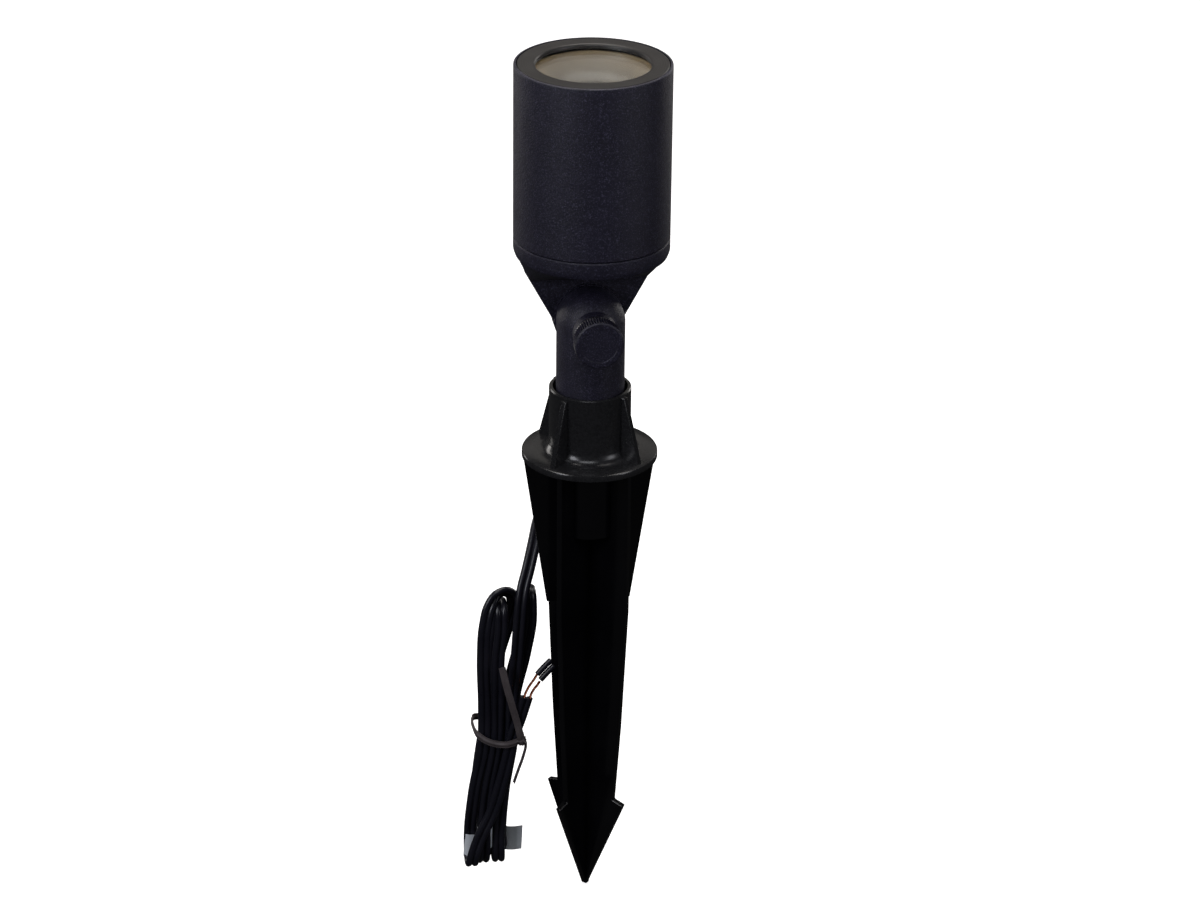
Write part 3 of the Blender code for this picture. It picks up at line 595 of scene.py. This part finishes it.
def twinSection(s):
    shift = s["width"] / 2 - s["lobe"]
    start = 180 - 180 / pi * atan2(s["web"], (s["lobe"] ** 2 - s["web"] ** 2) ** 0.5)
    right = arc((shift, 0), s["lobe"], -start, start, 12)
    left = arc((-shift, 0), s["lobe"], 180 - start, 180 + start, 12)
    return right + left


cordLine = smoothLine(leadStops(cordSet), cordSet["spacing"])
flatLead = sweep("flatLead", cordLine, twinSection(cordSet))
settle(flatLead, "stake", "cordVinyl", "lead_black", "cord_lead", "cord_hank", "cord_tail")

strippedSet = {
    "core": 0.0013,
    "copper": 0.00055,
    "slug": 0.0012,
    "twist": 1500,          # radians per metre of the strands' lay
    "bare": [(-24.4, 0, -106.6), (-23.9, 0, -104.8), (-22.4, 0.6, -102.2), (-20.6, 1.0, -99.9)],
    "slugs": [(-19.4, 1.6, -98.2), (-16.4, 2.4, -95.3), (-13.6, 3.0, -92.8)],
}


def strippedEnd(s):
    # two bare cores, each with the slug of insulation that was pushed along it
    made = []
    strands = []
    for step in range(7 * 4):
        angle = 2 * pi * step / (7 * 4)
        radius = s["copper"] * (0.86 + 0.14 * cos(7 * angle))
        strands.append((radius * cos(angle), radius * sin(angle)))
    jacket = arc((0, 0), s["slug"], 0, 345, 23)
    for number, side in ((1, -1), (2, 1)):
        shift = side * s["core"]
        bare = [(x * mm + shift * (1 - i * 0.16), y * mm, z * mm - shift * i * 0.34, 0, 1, 0)
                for i, (x, y, z) in enumerate(s["bare"] + s["slugs"][:1])]
        slug = [(x * mm + shift / 2, y * mm, z * mm - shift, 0, 1, 0) for x, y, z in s["slugs"]]
        core = sweep(f"bareCore{number}", smoothLine(bare, 0.0004), strands, s["twist"])
        made.append(settle(core, "stake", "copperStrand", "copper", f"bare_conductor_{number}"))
        cover = sweep(f"insulationSlug{number}", smoothLine(slug, 0.0008), jacket)
        soften(cover, 0.0002, 2, 60)
        made.append(settle(cover, "stake", "cordVinyl", "lead_black", f"insulation_slug_{number}"))
    return made


strippedPieces = strippedEnd(strippedSet)

tieSet = {
    "width": 0.0028,
    "wire": 0.00055,
    "thin": 0.00022,
    "band": [(-25.7, 1.0, -125.6), (-28.6, -0.6, -126.0), (-32.5, -0.9, -126.8), (-36.8, 0.6, -127.0),
             (-41.2, 2.4, -125.8), (-44.2, 4.6, -123.8), (-45.0, 8.5, -123.0), (-44.9, 14, -123.0),
             (-43.4, 19.0, -124.0), (-39.0, 20.9, -125.4), (-33.5, 20.9, -126.6), (-28.5, 20.7, -127.2),
             (-26.2, 18.0, -127.2), (-25.4, 12, -127.0), (-25.2, 6, -126.6), (-25.5, 2.0, -126.4)],
    "longEnd": [(-25.9, 0.4, -128.0), (-26.6, -0.5, -125.4), (-28.3, -1.3, -117.5), (-31.0, -1.5, -107),
                (-33.2, -1.2, -98), (-34.4, -0.2, -92)],
    "shortEnd": [(-26.6, -0.2, -125.2), (-25.0, 0.0, -126.4), (-24.7, 0.7, -128.4), (-25.7, 1.3, -134),
                 (-27.6, 1.9, -140.5), (-29.2, 2.3, -146)],
    "wrap": [(-26.9, 1.8, -127.0), (-27.3, 0.2, -126.4), (-26.6, -1.0, -125.8), (-25.4, -0.4, -125.6),
             (-24.9, 1.0, -126.0), (-25.6, 2.2, -126.8)],
}


def wireTie(s):
    # a flat plastic tie with a wire down its middle, twisted together at the side
    half, thin, wire = s["width"] / 2, s["thin"], s["wire"]
    below = [(-half, -thin), (-wire * 1.1, -thin), (-wire * 0.5, -wire), (wire * 0.5, -wire),
             (wire * 1.1, -thin), (half, -thin)]
    section = below + [(u, -v) for u, v in reversed(below)]

    def strip(name, stops, flat):
        line = smoothLine([(x * mm, y * mm, z * mm, *flat) for x, y, z in stops], 0.0007)
        return sweep(name, line, section)

    parts = [
        strip("tieBand", s["band"], (0, 0, 1)),
        strip("tieLongEnd", s["longEnd"], (1, 0, 0)),
        strip("tieShortEnd", s["shortEnd"], (0, 1, 0)),
        strip("tieWrap", s["wrap"], (0, 0, 1)),
    ]
    return settle(joinAll("wireTie", parts), "stake", "tiePlastic", "tie_grey", "twist_tie")


tie = wireTie(tieSet)

tagSet = {
    "height": 0.0110,
    "thickness": 0.00025,
    "line": [(-24.8, 9.2, -170.6), (-28, 9.1, -170.8), (-30.6, 9.6, -170.9), (-33, 10.8, -171.0),
             (-36, 11.5, -171.2), (-40, 11.7, -171.4), (-44.0, 11.5, -171.6), (-47.0, 11.0, -171.8),
             (-48.4, 10.2, -171.9),
             (-48.65, 9.0, -172.0), (-48.3, 7.6, -172.1), (-47.0, 6.9, -172.2), (-45.2, 6.9, -172.3),
             (-44.2, 7.0, -172.3)],
}


def paperTag(s):
    # a blank paper band that is wrapped round the left runs and stands out as a flag on the right
    piece = begin("paperTag", "circle", vertices=3, radius=0.001, location=(0, 0, 0))
    bpy.ops.mesh.select_all(action="SELECT")
    bpy.ops.mesh.merge(type="CENTER")
    line = smoothLine([(x * mm, y * mm, z * mm) for x, y, z in s["line"]], 0.0008)
    bpy.ops.transform.translate(value=line[0])
    for before, after in zip(line, line[1:]):
        bpy.ops.mesh.extrude_vertices_move(TRANSFORM_OT_translate={"value": after - before})
    bpy.ops.mesh.select_all(action="SELECT")
    grow((-0.0002, 0, -s["height"] / 2))
    grow((-0.0003, 0, -s["height"] / 2))
    leaveEdit(piece)
    useModifier(piece, "SOLIDIFY", thickness=s["thickness"], offset=0.0)
    smooth(piece, 40)
    return settle(piece, "stake", "tagPaper", "tag_white", "cord_tag")


tag = paperTag(tagSet)
print("tie, tag and stripped end made")


# Stake

stakeSet = {
    "collarRadius": 0.0160,
    "collarInner": 0.0146,
    "collarTop": 0.0295,
    "fillet": 0.0045,
    "flangeRadius": 0.0265,
    "flangeThickness": 0.0028,
    "hubRadius": 0.0115,
    "hubBottom": -0.0320,
    "hubFloor": 0.0030,
    "hubBore": 0.0063,
    "seat": 0.0107,
    "nippleWay": 0.0106,
    "nippleEnd": -0.0105,
    "finThickness": 0.0024,
    "ribThickness": 0.0023,
    "gussetThickness": 0.0022,
    "tip": -0.1940,
    "step": 0.0004,         # keeps crossing plates' ends out of one plane
    "edge": 0.00030,
    "outlet": -0.0200,
    "windowHalf": (0.0049, 0.0037),
}


def groundStake(s):
    collar = [(0, s["collarTop"]), (s["collarRadius"] - 0.0004, s["collarTop"]),
              (s["collarRadius"], s["collarTop"] - 0.0004)]
    filletCentre = (s["collarRadius"] + s["fillet"], s["flangeThickness"] + s["fillet"])
    collar += arc(filletCentre, s["fillet"], 180, 270, 14)
    collar += [(s["flangeRadius"] - 0.0006, s["flangeThickness"]),
               (s["flangeRadius"] - 0.0002, s["flangeThickness"] - 0.0002),
               (s["flangeRadius"], s["flangeThickness"] - 0.0006),
               (s["flangeRadius"], 0.0003), (s["flangeRadius"] - 0.0003, 0.0),
               (s["hubRadius"], 0.0), (s["hubRadius"], s["hubBottom"] + 0.0004),
               (s["hubRadius"] - 0.0004, s["hubBottom"]), (0, s["hubBottom"])]
    stake = lathe("groundStake", collar, 120)
    for turn, step in ((45, 0.0), (135, s["step"])):
        fin = mirrored([(0.0195, 0.0008 + step), (0.0193, -0.0630), (0.0165, -0.1160), (0.0139, -0.1500),
                        (0.0189, -0.1512), (0.0009, s["tip"] + step)])
        half = s["finThickness"] / 2
        combine(stake, soften(plate("fin", fin, -half, half, turn), s["edge"]), "UNION")
        rib = mirrored([(0.0242, 0.0018 + step / 2), (0.0242, s["flangeThickness"] + 0.0006),
                        (s["collarRadius"] + 0.0011, 0.0282 + step),
                        (s["collarRadius"] - 0.0007, 0.0287 + step)])
        half = s["ribThickness"] / 2
        combine(stake, soften(plate("rib", rib, -half, half, turn), s["edge"]), "UNION")
    gusset = mirrored([(0.0259, 0.0015), (0.0259, -0.0006), (0.0166, -0.0630), (0.0008, -0.0645)])
    half = s["gussetThickness"] / 2
    combine(stake, soften(plate("gusset", gusset, -half, half), s["edge"]), "UNION")
    above, below = s["collarTop"] + 0.01, s["hubBottom"] + s["hubFloor"]
    bore = [(0, above), (s["collarInner"], above), (s["collarInner"], s["seat"]),
            (s["nippleWay"], s["seat"]), (s["nippleWay"], s["nippleEnd"]),
            (s["hubBore"], s["nippleEnd"]), (s["hubBore"], below), (0, below)]
    combine(stake, lathe("stakeBore", bore, 96), "DIFFERENCE")
    side = s["windowHalf"][0]
    low, high = s["outlet"] - s["windowHalf"][1], s["outlet"] + s["windowHalf"][1]
    window = plate("outletWindow", [(-side, low), (side, low), (side, high), (-side, high)], 0.004, 0.02)
    combine(stake, window, "DIFFERENCE")
    return settle(stake, "stake", "glossyMoulding", "glossy_black", "ground_stake")


groundStake(stakeSet)
print("stake made")

grommetSet = {
    "height": -0.0200,
    "levels": [  # depth, half width, half height
        (0.0080, 0.0045, 0.0033), (0.0118, 0.0045, 0.0033), (0.0118, 0.0056, 0.0044),
        (0.0131, 0.0056, 0.0044), (0.0134, 0.0053, 0.0041), (0.0136, 0.0046, 0.0036),
        (0.0150, 0.0044, 0.0034), (0.0151, 0.0040, 0.0030), (0.0158, 0.0040, 0.0030),
        (0.0159, 0.0042, 0.0032), (0.0168, 0.0040, 0.0030), (0.0169, 0.0036, 0.0026),
        (0.0176, 0.0036, 0.0026), (0.0177, 0.0039, 0.0029), (0.0186, 0.0037, 0.0027),
        (0.0187, 0.0033, 0.0023), (0.0194, 0.0033, 0.0023), (0.0195, 0.0036, 0.0026),
        (0.0215, 0.0032, 0.0022),
    ],
}


def outletGrommet(s):
    depth, width, height = s["levels"][0]
    piece = begin("outletGrommet", "circle", vertices=40, radius=1.0, location=(0, depth, s["height"]),
                  rotation=(pi / 2, 0, 0))
    bpy.ops.mesh.select_all(action="SELECT")
    bpy.ops.transform.resize(value=(width, 1, height), center_override=(0, depth, s["height"]))
    bpy.ops.mesh.edge_face_add()
    for after in s["levels"][1:]:
        factor = (after[1] / width, 1, after[2] / height)
        grow((0, after[0] - depth, 0), factor, (0, after[0], s["height"]))
        depth, width, height = after
    leaveEdit(piece, 40)
    return settle(piece, "stake", "sealRubber", "seal_rubber", "outlet_grommet")


outletGrommet(grommetSet)


# Post and knob

hinge = (0, 0, 0.0560)
postSet = {
    "radius": 0.0133,
    "nippleRadius": 0.0103,
    "nippleBottom": -0.0095,
    "seat": 0.0125,
    "front": 0.0152,
    "boss": 0.0086,
    "bore": 0.0050,
    "screwWay": 0.0027,
    "cutaway": (0.0040, 0.0340),   # how far back the post's back half starts, and its foot
    "edge": 0.00035,
}


def knucklePost(s):
    post = lathe("knucklePost", [(0, s["nippleBottom"]), (s["nippleRadius"], s["nippleBottom"]),
                                 (s["nippleRadius"], s["seat"]), (s["radius"], s["seat"]),
                                 (s["radius"], hinge[2] + 0.02), (0, hinge[2] + 0.02)], 112)
    # the round top: trimmed to a ball in front of the hinge and a drum behind it, open below
    reach = s["radius"] + 0.00005
    drum = [(0, -0.03), (reach, -0.03), *arc((0.0002, 0.0002), reach - 0.0002, 0, 90, 28)]
    drum = faceFront(lathe("knuckleDrum", [*drum, (0, reach)], 112), hinge)
    combine(drum, plate("belowHinge", [(-0.02, -0.02), (0.02, -0.02), (0.02, hinge[2] - 0.0002),
                                       (-0.02, hinge[2] - 0.0002)], -0.02, 0.031), "UNION")
    combine(post, drum, "INTERSECT")
    bossBack = s["radius"] - 0.004
    boss = [(0, bossBack), (s["boss"], bossBack), (s["boss"], s["front"]), (0, s["front"])]
    combine(post, faceFront(lathe("washerBoss", boss, 96), hinge), "UNION")
    depth, foot = s["cutaway"]
    back = plate("backCutaway", [(-0.02, foot), (0.02, foot), (0.02, 0.08), (-0.02, 0.08)], depth, 0.03)
    combine(post, back, "DIFFERENCE")
    bore = lathe("leadBore", [(0, -0.0145), (s["bore"], -0.0145), (s["bore"], 0.047), (0, 0.047)], 64)
    combine(post, bore, "DIFFERENCE")
    way = [(0, -0.03), (s["screwWay"], -0.03), (s["screwWay"], 0.03), (0, 0.03)]
    combine(post, faceFront(lathe("screwWay", way, 48), hinge), "DIFFERENCE")
    soften(post, s["edge"], 3, 40)
    return settle(post, "post", "powderCoat", "powder_coat", "knuckle_post")


knucklePost(postSet)

knobSet = {
    "radius": 0.0095,
    "back": 0.0170,
    "thickness": 0.0068,
    "ridges": 60,
    "ridgeDepth": 0.00055,
    "chamfer": 0.0008,
    "dish": 0.0070,
    "dishDepth": 0.00025,
    "socket": 0.0027,
}


def clampKnob(s):
    ridges = s["ridges"]
    place = (0, -s["back"], hinge[2])
    small = s["radius"] - 0.0006
    knob = begin("clampKnob", "circle", vertices=ridges * 2, radius=small, location=place,
                 rotation=(pi / 2, 0, 0))
    bpy.ops.mesh.select_all(action="SELECT")
    bpy.ops.mesh.edge_face_add()
    depth = -s["back"]

    def level(step, factor):
        nonlocal depth
        depth -= step
        grow((0, -step, 0), (factor, 1, factor), (0, depth, hinge[2]))

    def notch(factor):
        # every other point of the newest ring moves in or out
        work = bmesh.from_edit_mesh(knob.data)
        ring = [v for v in work.verts if abs(v.co.y - depth) < 1e-6]
        ring.sort(key=lambda v: atan2(v.co.z - hinge[2], v.co.x))
        work.verts.index_update()
        chosen = {v.index for v in ring[::2]}
        pick(knob, lambda v: v.index in chosen)
        bpy.ops.transform.resize(value=(factor, 1, factor), center_override=(0, depth, hinge[2]))
        pick(knob, lambda f: all(abs(v.co.y - depth) < 1e-6 for v in f.verts), "faces")

    shallow = 1 - s["ridgeDepth"] / s["radius"]
    level(0.0006, s["radius"] / small)
    notch(shallow)
    level(s["thickness"] - 0.0006 - s["chamfer"], 1.0)
    level(s["chamfer"] * 0.4, 1 - s["chamfer"] * 0.15 / s["radius"])
    notch(1 / shallow)
    level(s["chamfer"] * 0.6, 1 - s["chamfer"] * 0.7 / s["radius"])
    inward = s["dish"] / (s["radius"] - 0.0007)
    grow((0, 0, 0), (inward, 1, inward), (0, depth, hinge[2]))
    grow((0, s["dishDepth"], 0), (0.97, 1, 0.97), (0, depth, hinge[2]))
    leaveEdit(knob, 24)
    low = s["back"] - 0.01
    way = [(0, low), (s["socket"], low), (s["socket"], s["back"] + 0.0045), (0, s["back"] + 0.0045)]
    combine(knob, faceFront(lathe("screwSocket", way, 48), hinge), "DIFFERENCE", 24)
    return settle(knob, "knob", "powderCoat", "powder_coat", "clamp_knob")


clampKnob(knobSet)
print("post and knob made")


# Head

headSet = {
    "radius": 0.0300,
    "seam": 0.0920,
    "top": 0.1610,
    "capBottom": 0.0854,
    "capBottomRadius": 0.0293,
    "sleeve": 0.0274,
    "sleeveInner": 0.0247,
    "sleeveTop": 0.1120,
    "sealGroove": (0.0960, 0.0984),
    "sealFloor": 0.0258,
    "threads": 6,
    "threadFoot": 0.0995,
    "threadPitch": 0.0019,
    "ledge": 0.1055,
    "ledgeInner": 0.0236,
    "floor": 0.0875,
    "neckSlope": 0.5700,
    "tongueRadius": 0.01385,
    "tongueNeck": 0.0720,
    "tongueFront": 0.0043,
    "tongueBack": 0.0130,
    "discThickness": 0.0024,
    "teeth": 34,
    "toothDepth": 0.0005,
    "edge": 0.0005,
}


def rearHousing(s):
    rim = s["radius"]
    sealLow, sealHigh = s["sealGroove"]
    cap = [(0, s["capBottom"]), (s["capBottomRadius"], s["capBottom"]), (rim - 0.0002, 0.0867),
           (rim, 0.0876), (rim, s["seam"] - 0.0004), (rim - 0.0004, s["seam"]), (s["sleeve"], s["seam"]),
           (s["sleeve"], sealLow), (s["sealFloor"], sealLow), (s["sealFloor"], sealHigh),
           (s["sleeve"], sealHigh)]
    for ridge in range(s["threads"]):
        height = s["threadFoot"] + ridge * s["threadPitch"]
        cap += [(s["sleeve"], height), (s["sleeve"] - 0.0005, height + 0.0006),
                (s["sleeve"] - 0.0005, height + 0.0011), (s["sleeve"], height + 0.0015)]
    cap += [(s["sleeve"], s["sleeveTop"] - 0.0005), (s["sleeve"] - 0.0005, s["sleeveTop"]),
            (s["sleeveInner"], s["sleeveTop"]), (s["sleeveInner"], s["ledge"]),
            (s["ledgeInner"], s["ledge"]), (s["ledgeInner"], s["floor"]), (0, s["floor"])]
    housing = lathe("rearHousing", cap, 128)

    # the neck: the cap's round rim drawn down to the flat top of the tongue
    half = s["tongueRadius"] + s["neckSlope"] * (s["tongueNeck"] - hinge[2])
    neck = begin("capNeck", "circle", vertices=128, radius=s["capBottomRadius"],
                 location=(0, 0, s["capBottom"] + 0.0006))
    bpy.ops.mesh.select_all(action="DESELECT")
    bpy.ops.mesh.primitive_plane_add(size=1, location=(0, 0, 0))
    bpy.ops.transform.resize(value=(2 * half, s["tongueBack"] - s["tongueFront"] - 0.0012, 1),
                             center_override=(0, 0, 0))
    middle = (s["tongueFront"] + 0.0012 + s["tongueBack"]) / 2
    bpy.ops.transform.translate(value=(0, middle, s["tongueNeck"]))
    bpy.ops.mesh.select_all(action="SELECT")
    bpy.ops.mesh.convex_hull()
    leaveEdit(neck, 20)
    soften(neck, 0.0004, 3, 25)
    combine(housing, neck, "UNION")

    side = [(half + s["neckSlope"] * 0.004, s["tongueNeck"] + 0.004), (s["tongueRadius"] + 0.0005, hinge[2])]
    side += arc((0, hinge[2]), s["tongueRadius"], -6, -84, 14)
    tongue = plate("tongue", mirrored(side), s["tongueFront"] + 0.0012, s["tongueBack"])
    soften(tongue, s["edge"], 3, 40)
    combine(housing, tongue, "UNION")
    combine(housing, toothedDisc(s), "UNION")

    way = faceFront(lathe("screwWay", [(0, -0.02), (0.0029, -0.02), (0.0029, 0), (0, 0)], 48), hinge)
    combine(housing, way, "DIFFERENCE")
    pocket = lathe("insertPocket", [(0, -0.02), (0.0049, -0.02), (0.0049, -0.0078), (0, -0.0078)], 6)
    combine(housing, faceFront(pocket, hinge), "DIFFERENCE")
    return settle(housing, "head", "powderCoat", "powder_coat", "rear_housing")


def toothedDisc(s):
    # the disc whose wavy rim shows where the joint's teeth mesh
    disc = begin("toothedDisc", "circle", vertices=s["teeth"] * 4, radius=s["tongueRadius"],
                 location=(0, s["tongueFront"], hinge[2]), rotation=(pi / 2, 0, 0))
    for rests, share in (((2,), 1.0), ((1, 3), 0.5)):
        pick(disc, lambda v, rests=rests: v.index % 4 in rests)
        factor = 1 - share * s["toothDepth"] / s["tongueRadius"]
        bpy.ops.transform.resize(value=(factor, 1, factor), center_override=(0, s["tongueFront"], hinge[2]))
    bpy.ops.mesh.select_all(action="SELECT")
    bpy.ops.mesh.edge_face_add()
    bpy.ops.mesh.extrude_region_move(TRANSFORM_OT_translate={"value": (0, s["discThickness"], 0)})
    return leaveEdit(disc, 24)


rearHousing(headSet)
print("rear housing made")

shroudSet = {
    "inner": 0.0278,
    "seamGap": 0.0003,
    "shoulderInner": 0.0240,
    "shoulderTop": 0.1539,
    "lensSeat": 0.0275,
    "ringSeat": 0.0290,
    "lensTop": 0.1586,
    "round": 0.0006,
}


def lensShroud(s, h):
    low = h["seam"] + s["seamGap"]
    outline = [(s["inner"], low), (h["radius"] - 0.0004, low), (h["radius"], low + 0.0004)]
    outline += arc((h["radius"] - s["round"], h["top"] - s["round"]), s["round"], 0, 90, 6)
    outline += [(s["ringSeat"], h["top"]), (s["ringSeat"], s["lensTop"] - 0.0003),
                (s["lensSeat"], s["lensTop"] - 0.0003), (s["lensSeat"], s["shoulderTop"]),
                (s["shoulderInner"], s["shoulderTop"]), (s["shoulderInner"], s["shoulderTop"] - 0.0024),
                (s["inner"], s["shoulderTop"] - 0.0062)]
    return settle(lathe("lensShroud", outline, 160), "shroud", "powderCoat", "powder_coat", "lens_shroud")


lensShroud(shroudSet, headSet)

lensSet = {
    "radius": 0.0272,
    "bottom": 0.1557,
    "top": 0.1586,
    "window": 0.02175,
    "ringRadius": 0.0287,
    "ringGap": 0.0003,
    "ringCurl": 0.0011,
    "glassEdge": 0.0004,
    "lightRadius": 0.0106,
    "lightTop": 0.1470,
}


def lensRing(s):
    low, high = s["top"] + s["ringGap"], headSet["top"]
    curl = s["window"] + s["ringCurl"]
    ring = [(s["window"] + 0.0008, low), (s["ringRadius"], low), (s["ringRadius"], high - 0.0003),
            (s["ringRadius"] - 0.0003, high), (curl, high)]
    ring += arc((curl, high - s["ringCurl"]), s["ringCurl"], 90, 180, 6)[1:]
    ring += [(s["window"], low + 0.0004)]
    return settle(lathe("lensRing", ring, 128), "shroud", "ringBronze", "lens_ring", "lens_ring")


def lensGlass(s):
    edge = s["glassEdge"]
    glass = [(0, s["bottom"]), (s["radius"] - edge, s["bottom"]), (s["radius"], s["bottom"] + edge),
             (s["radius"], s["top"] - edge), (s["radius"] - edge, s["top"]), (0, s["top"])]
    return settle(lathe("lensGlass", glass, 96), "lens", "lensGlassClear", "glass", "lens_glass")


def reflectorCup():
    inside = [(0.0231, 0.15565), (0.0229, 0.1541), (0.0221, 0.1528), (0.0209, 0.1514), (0.0192, 0.1495),
              (0.0170, 0.1479), (0.0148, 0.1470), (0.0137, 0.1468)]
    outside = [(0.0137, 0.1462), (0.0147, 0.1462), (0.0172, 0.1471), (0.0196, 0.1487), (0.0214, 0.1506),
               (0.0228, 0.1524), (0.0236, 0.1540), (0.02375, 0.15565)]
    cup = lathe("reflectorCup", outside + inside, 128)
    return settle(cup, "head", "cupCream", "cup_cream", "reflector_cup")


def ledBoard():
    board = [(0, 0.1437), (0.0149, 0.1437), (0.0150, 0.1438), (0.0150, 0.1452), (0.0149, 0.1453),
             (0.0112, 0.1453), (0.0112, 0.14515), (0, 0.14515)]
    return settle(lathe("ledBoard", board, 96), "head", "boardWhite", "circuit_board", "led_board")


def ledDiffuser(s):
    rim = s["lightRadius"]
    light = [(0, 0.1456), (rim, 0.1456), (rim, 0.1463), (rim - 0.0002, 0.1466), (rim - 0.0010, 0.14685),
             (0.0070, 0.14695), (0, s["lightTop"])]
    return settle(lathe("ledDiffuser", light, 96), "head", "ledPhosphor", "phosphor", "led_diffuser")


lensRing(lensSet)
lensGlass(lensSet)
reflectorCup()
ledBoard()
ledDiffuser(lensSet)
print("lens, cup and light made")


# The solids that keep their shape

keptFinishes = {
    "sealRubber": ("body_o_ring", "lead_grommet", "lens_gasket", "post_washer"),
    "castAluminium": ("heat_sink",),
    "boardMask": ("driver_board",),
    "chipResin": ("input_capacitor", "output_capacitor", "rectifier", "control_chip"),
    "copperStrand": ("inductor",),
    "plainSteel": ("board_screw_1", "board_screw_2", "clamp_washer", "clamp_screw"),
    "plainBrass": ("threaded_insert",),
    "cordVinyl": ("supply_lead", "driver_lead_1", "driver_lead_2", "light_lead_1", "light_lead_2"),
}
for finish, names in keptFinishes.items():
    for name in names:
        for slot in nodes[name].material_slots:
            slot.material = finishes[finish]
print("kept solids finished:", sum(len(names) for names in keptFinishes.values()))


# Floor and light

stageSet = {
    "floorHeight": -0.1945,
    "floorSize": 8,
    "floorColour": (0.80, 0.80, 0.80),
    "floorGlow": 0.75,
    "worldSeen": 1.0,
    "worldLight": 0.025,
    "lamps": [  # name, place, aim, width, height, watts, colour
        ("leftBox", (-1.00, -0.72, 0.60), (0, 0, 0.06), 0.40, 0.75, 6.5, (0.92, 0.93, 1.0)),
        ("rightBox", (1.00, -0.80, 0.50), (0, 0, 0.06), 0.35, 0.75, 3.8, (0.94, 0.94, 1.0)),
        ("backBox", (0.22, 1.5, 0.70), (0, 0, 0.0), 1.6, 0.45, 0.72, (1.0, 0.95, 0.89)),
        ("frontBox", (-0.25, -0.90, 1.35), (0, 0, 0.0), 0.8, 0.4, 4.0, (0.94, 0.96, 1.0)),
        ("topBox", (0.0, 0.35, 1.35), (0, 0, 0.1), 1.1, 0.8, 15, (1.0, 0.96, 0.92)),
        ("rimLeft", (-0.85, 0.95, 0.25), (0, 0, 0.0), 0.30, 0.9, 3.0, (1.0, 0.97, 0.94)),
        ("rimRight", (0.90, 0.90, 0.25), (0, 0, 0.0), 0.30, 0.9, 3.0, (1.0, 0.97, 0.94)),
    ],
}


def setStage(s):
    bpy.ops.object.select_all(action="DESELECT")
    bpy.ops.mesh.primitive_plane_add(size=s["floorSize"], location=(0, 0, s["floorHeight"]))
    floor = bpy.context.object
    floor.name = "studioFloor"
    finish, shader, _ = newFinish("floorPaper", {"Base Color": (*s["floorColour"], 1), "Roughness": 0.9,
                                                    "Specular IOR Level": 0.1})
    shader.inputs["Emission Color"].default_value = (1, 1, 1, 1)
    shader.inputs["Emission Strength"].default_value = s["floorGlow"]
    floor.data.materials.append(finish)
    floor.visible_glossy = False
    floor.visible_diffuse = False

    world = bpy.data.worlds.new("studioAir")
    bpy.context.scene.world = world
    world.use_nodes = True
    tree = world.node_tree
    air = tree.nodes["Background"]
    seen = tree.nodes.new("ShaderNodeBackground")
    seen.inputs["Strength"].default_value = s["worldSeen"]
    seen.inputs["Color"].default_value = (1, 1, 1, 1)
    air.inputs["Color"].default_value = (1, 1, 1, 1)
    air.inputs["Strength"].default_value = s["worldLight"]
    path = tree.nodes.new("ShaderNodeLightPath")
    both = tree.nodes.new("ShaderNodeMixShader")
    tree.links.new(path.outputs["Is Camera Ray"], both.inputs[0])
    tree.links.new(air.outputs[0], both.inputs[1])
    tree.links.new(seen.outputs[0], both.inputs[2])
    tree.links.new(both.outputs[0], tree.nodes["World Output"].inputs["Surface"])

    for name, place, aim, width, height, watts, colour in s["lamps"]:
        lamp = bpy.data.lights.new(name, "AREA")
        lamp.shape = "RECTANGLE"
        lamp.size, lamp.size_y, lamp.energy = width, height, watts
        lamp.color = colour
        holder = bpy.data.objects.new(name, lamp)
        holder.location = place
        holder.rotation_euler = (Vector(aim) - Vector(place)).to_track_quat("-Z", "Y").to_euler()
        bpy.context.scene.collection.objects.link(holder)
    bpy.context.scene.view_settings.view_transform = "Standard"


setStage(stageSet)
print("floor and lamps set")
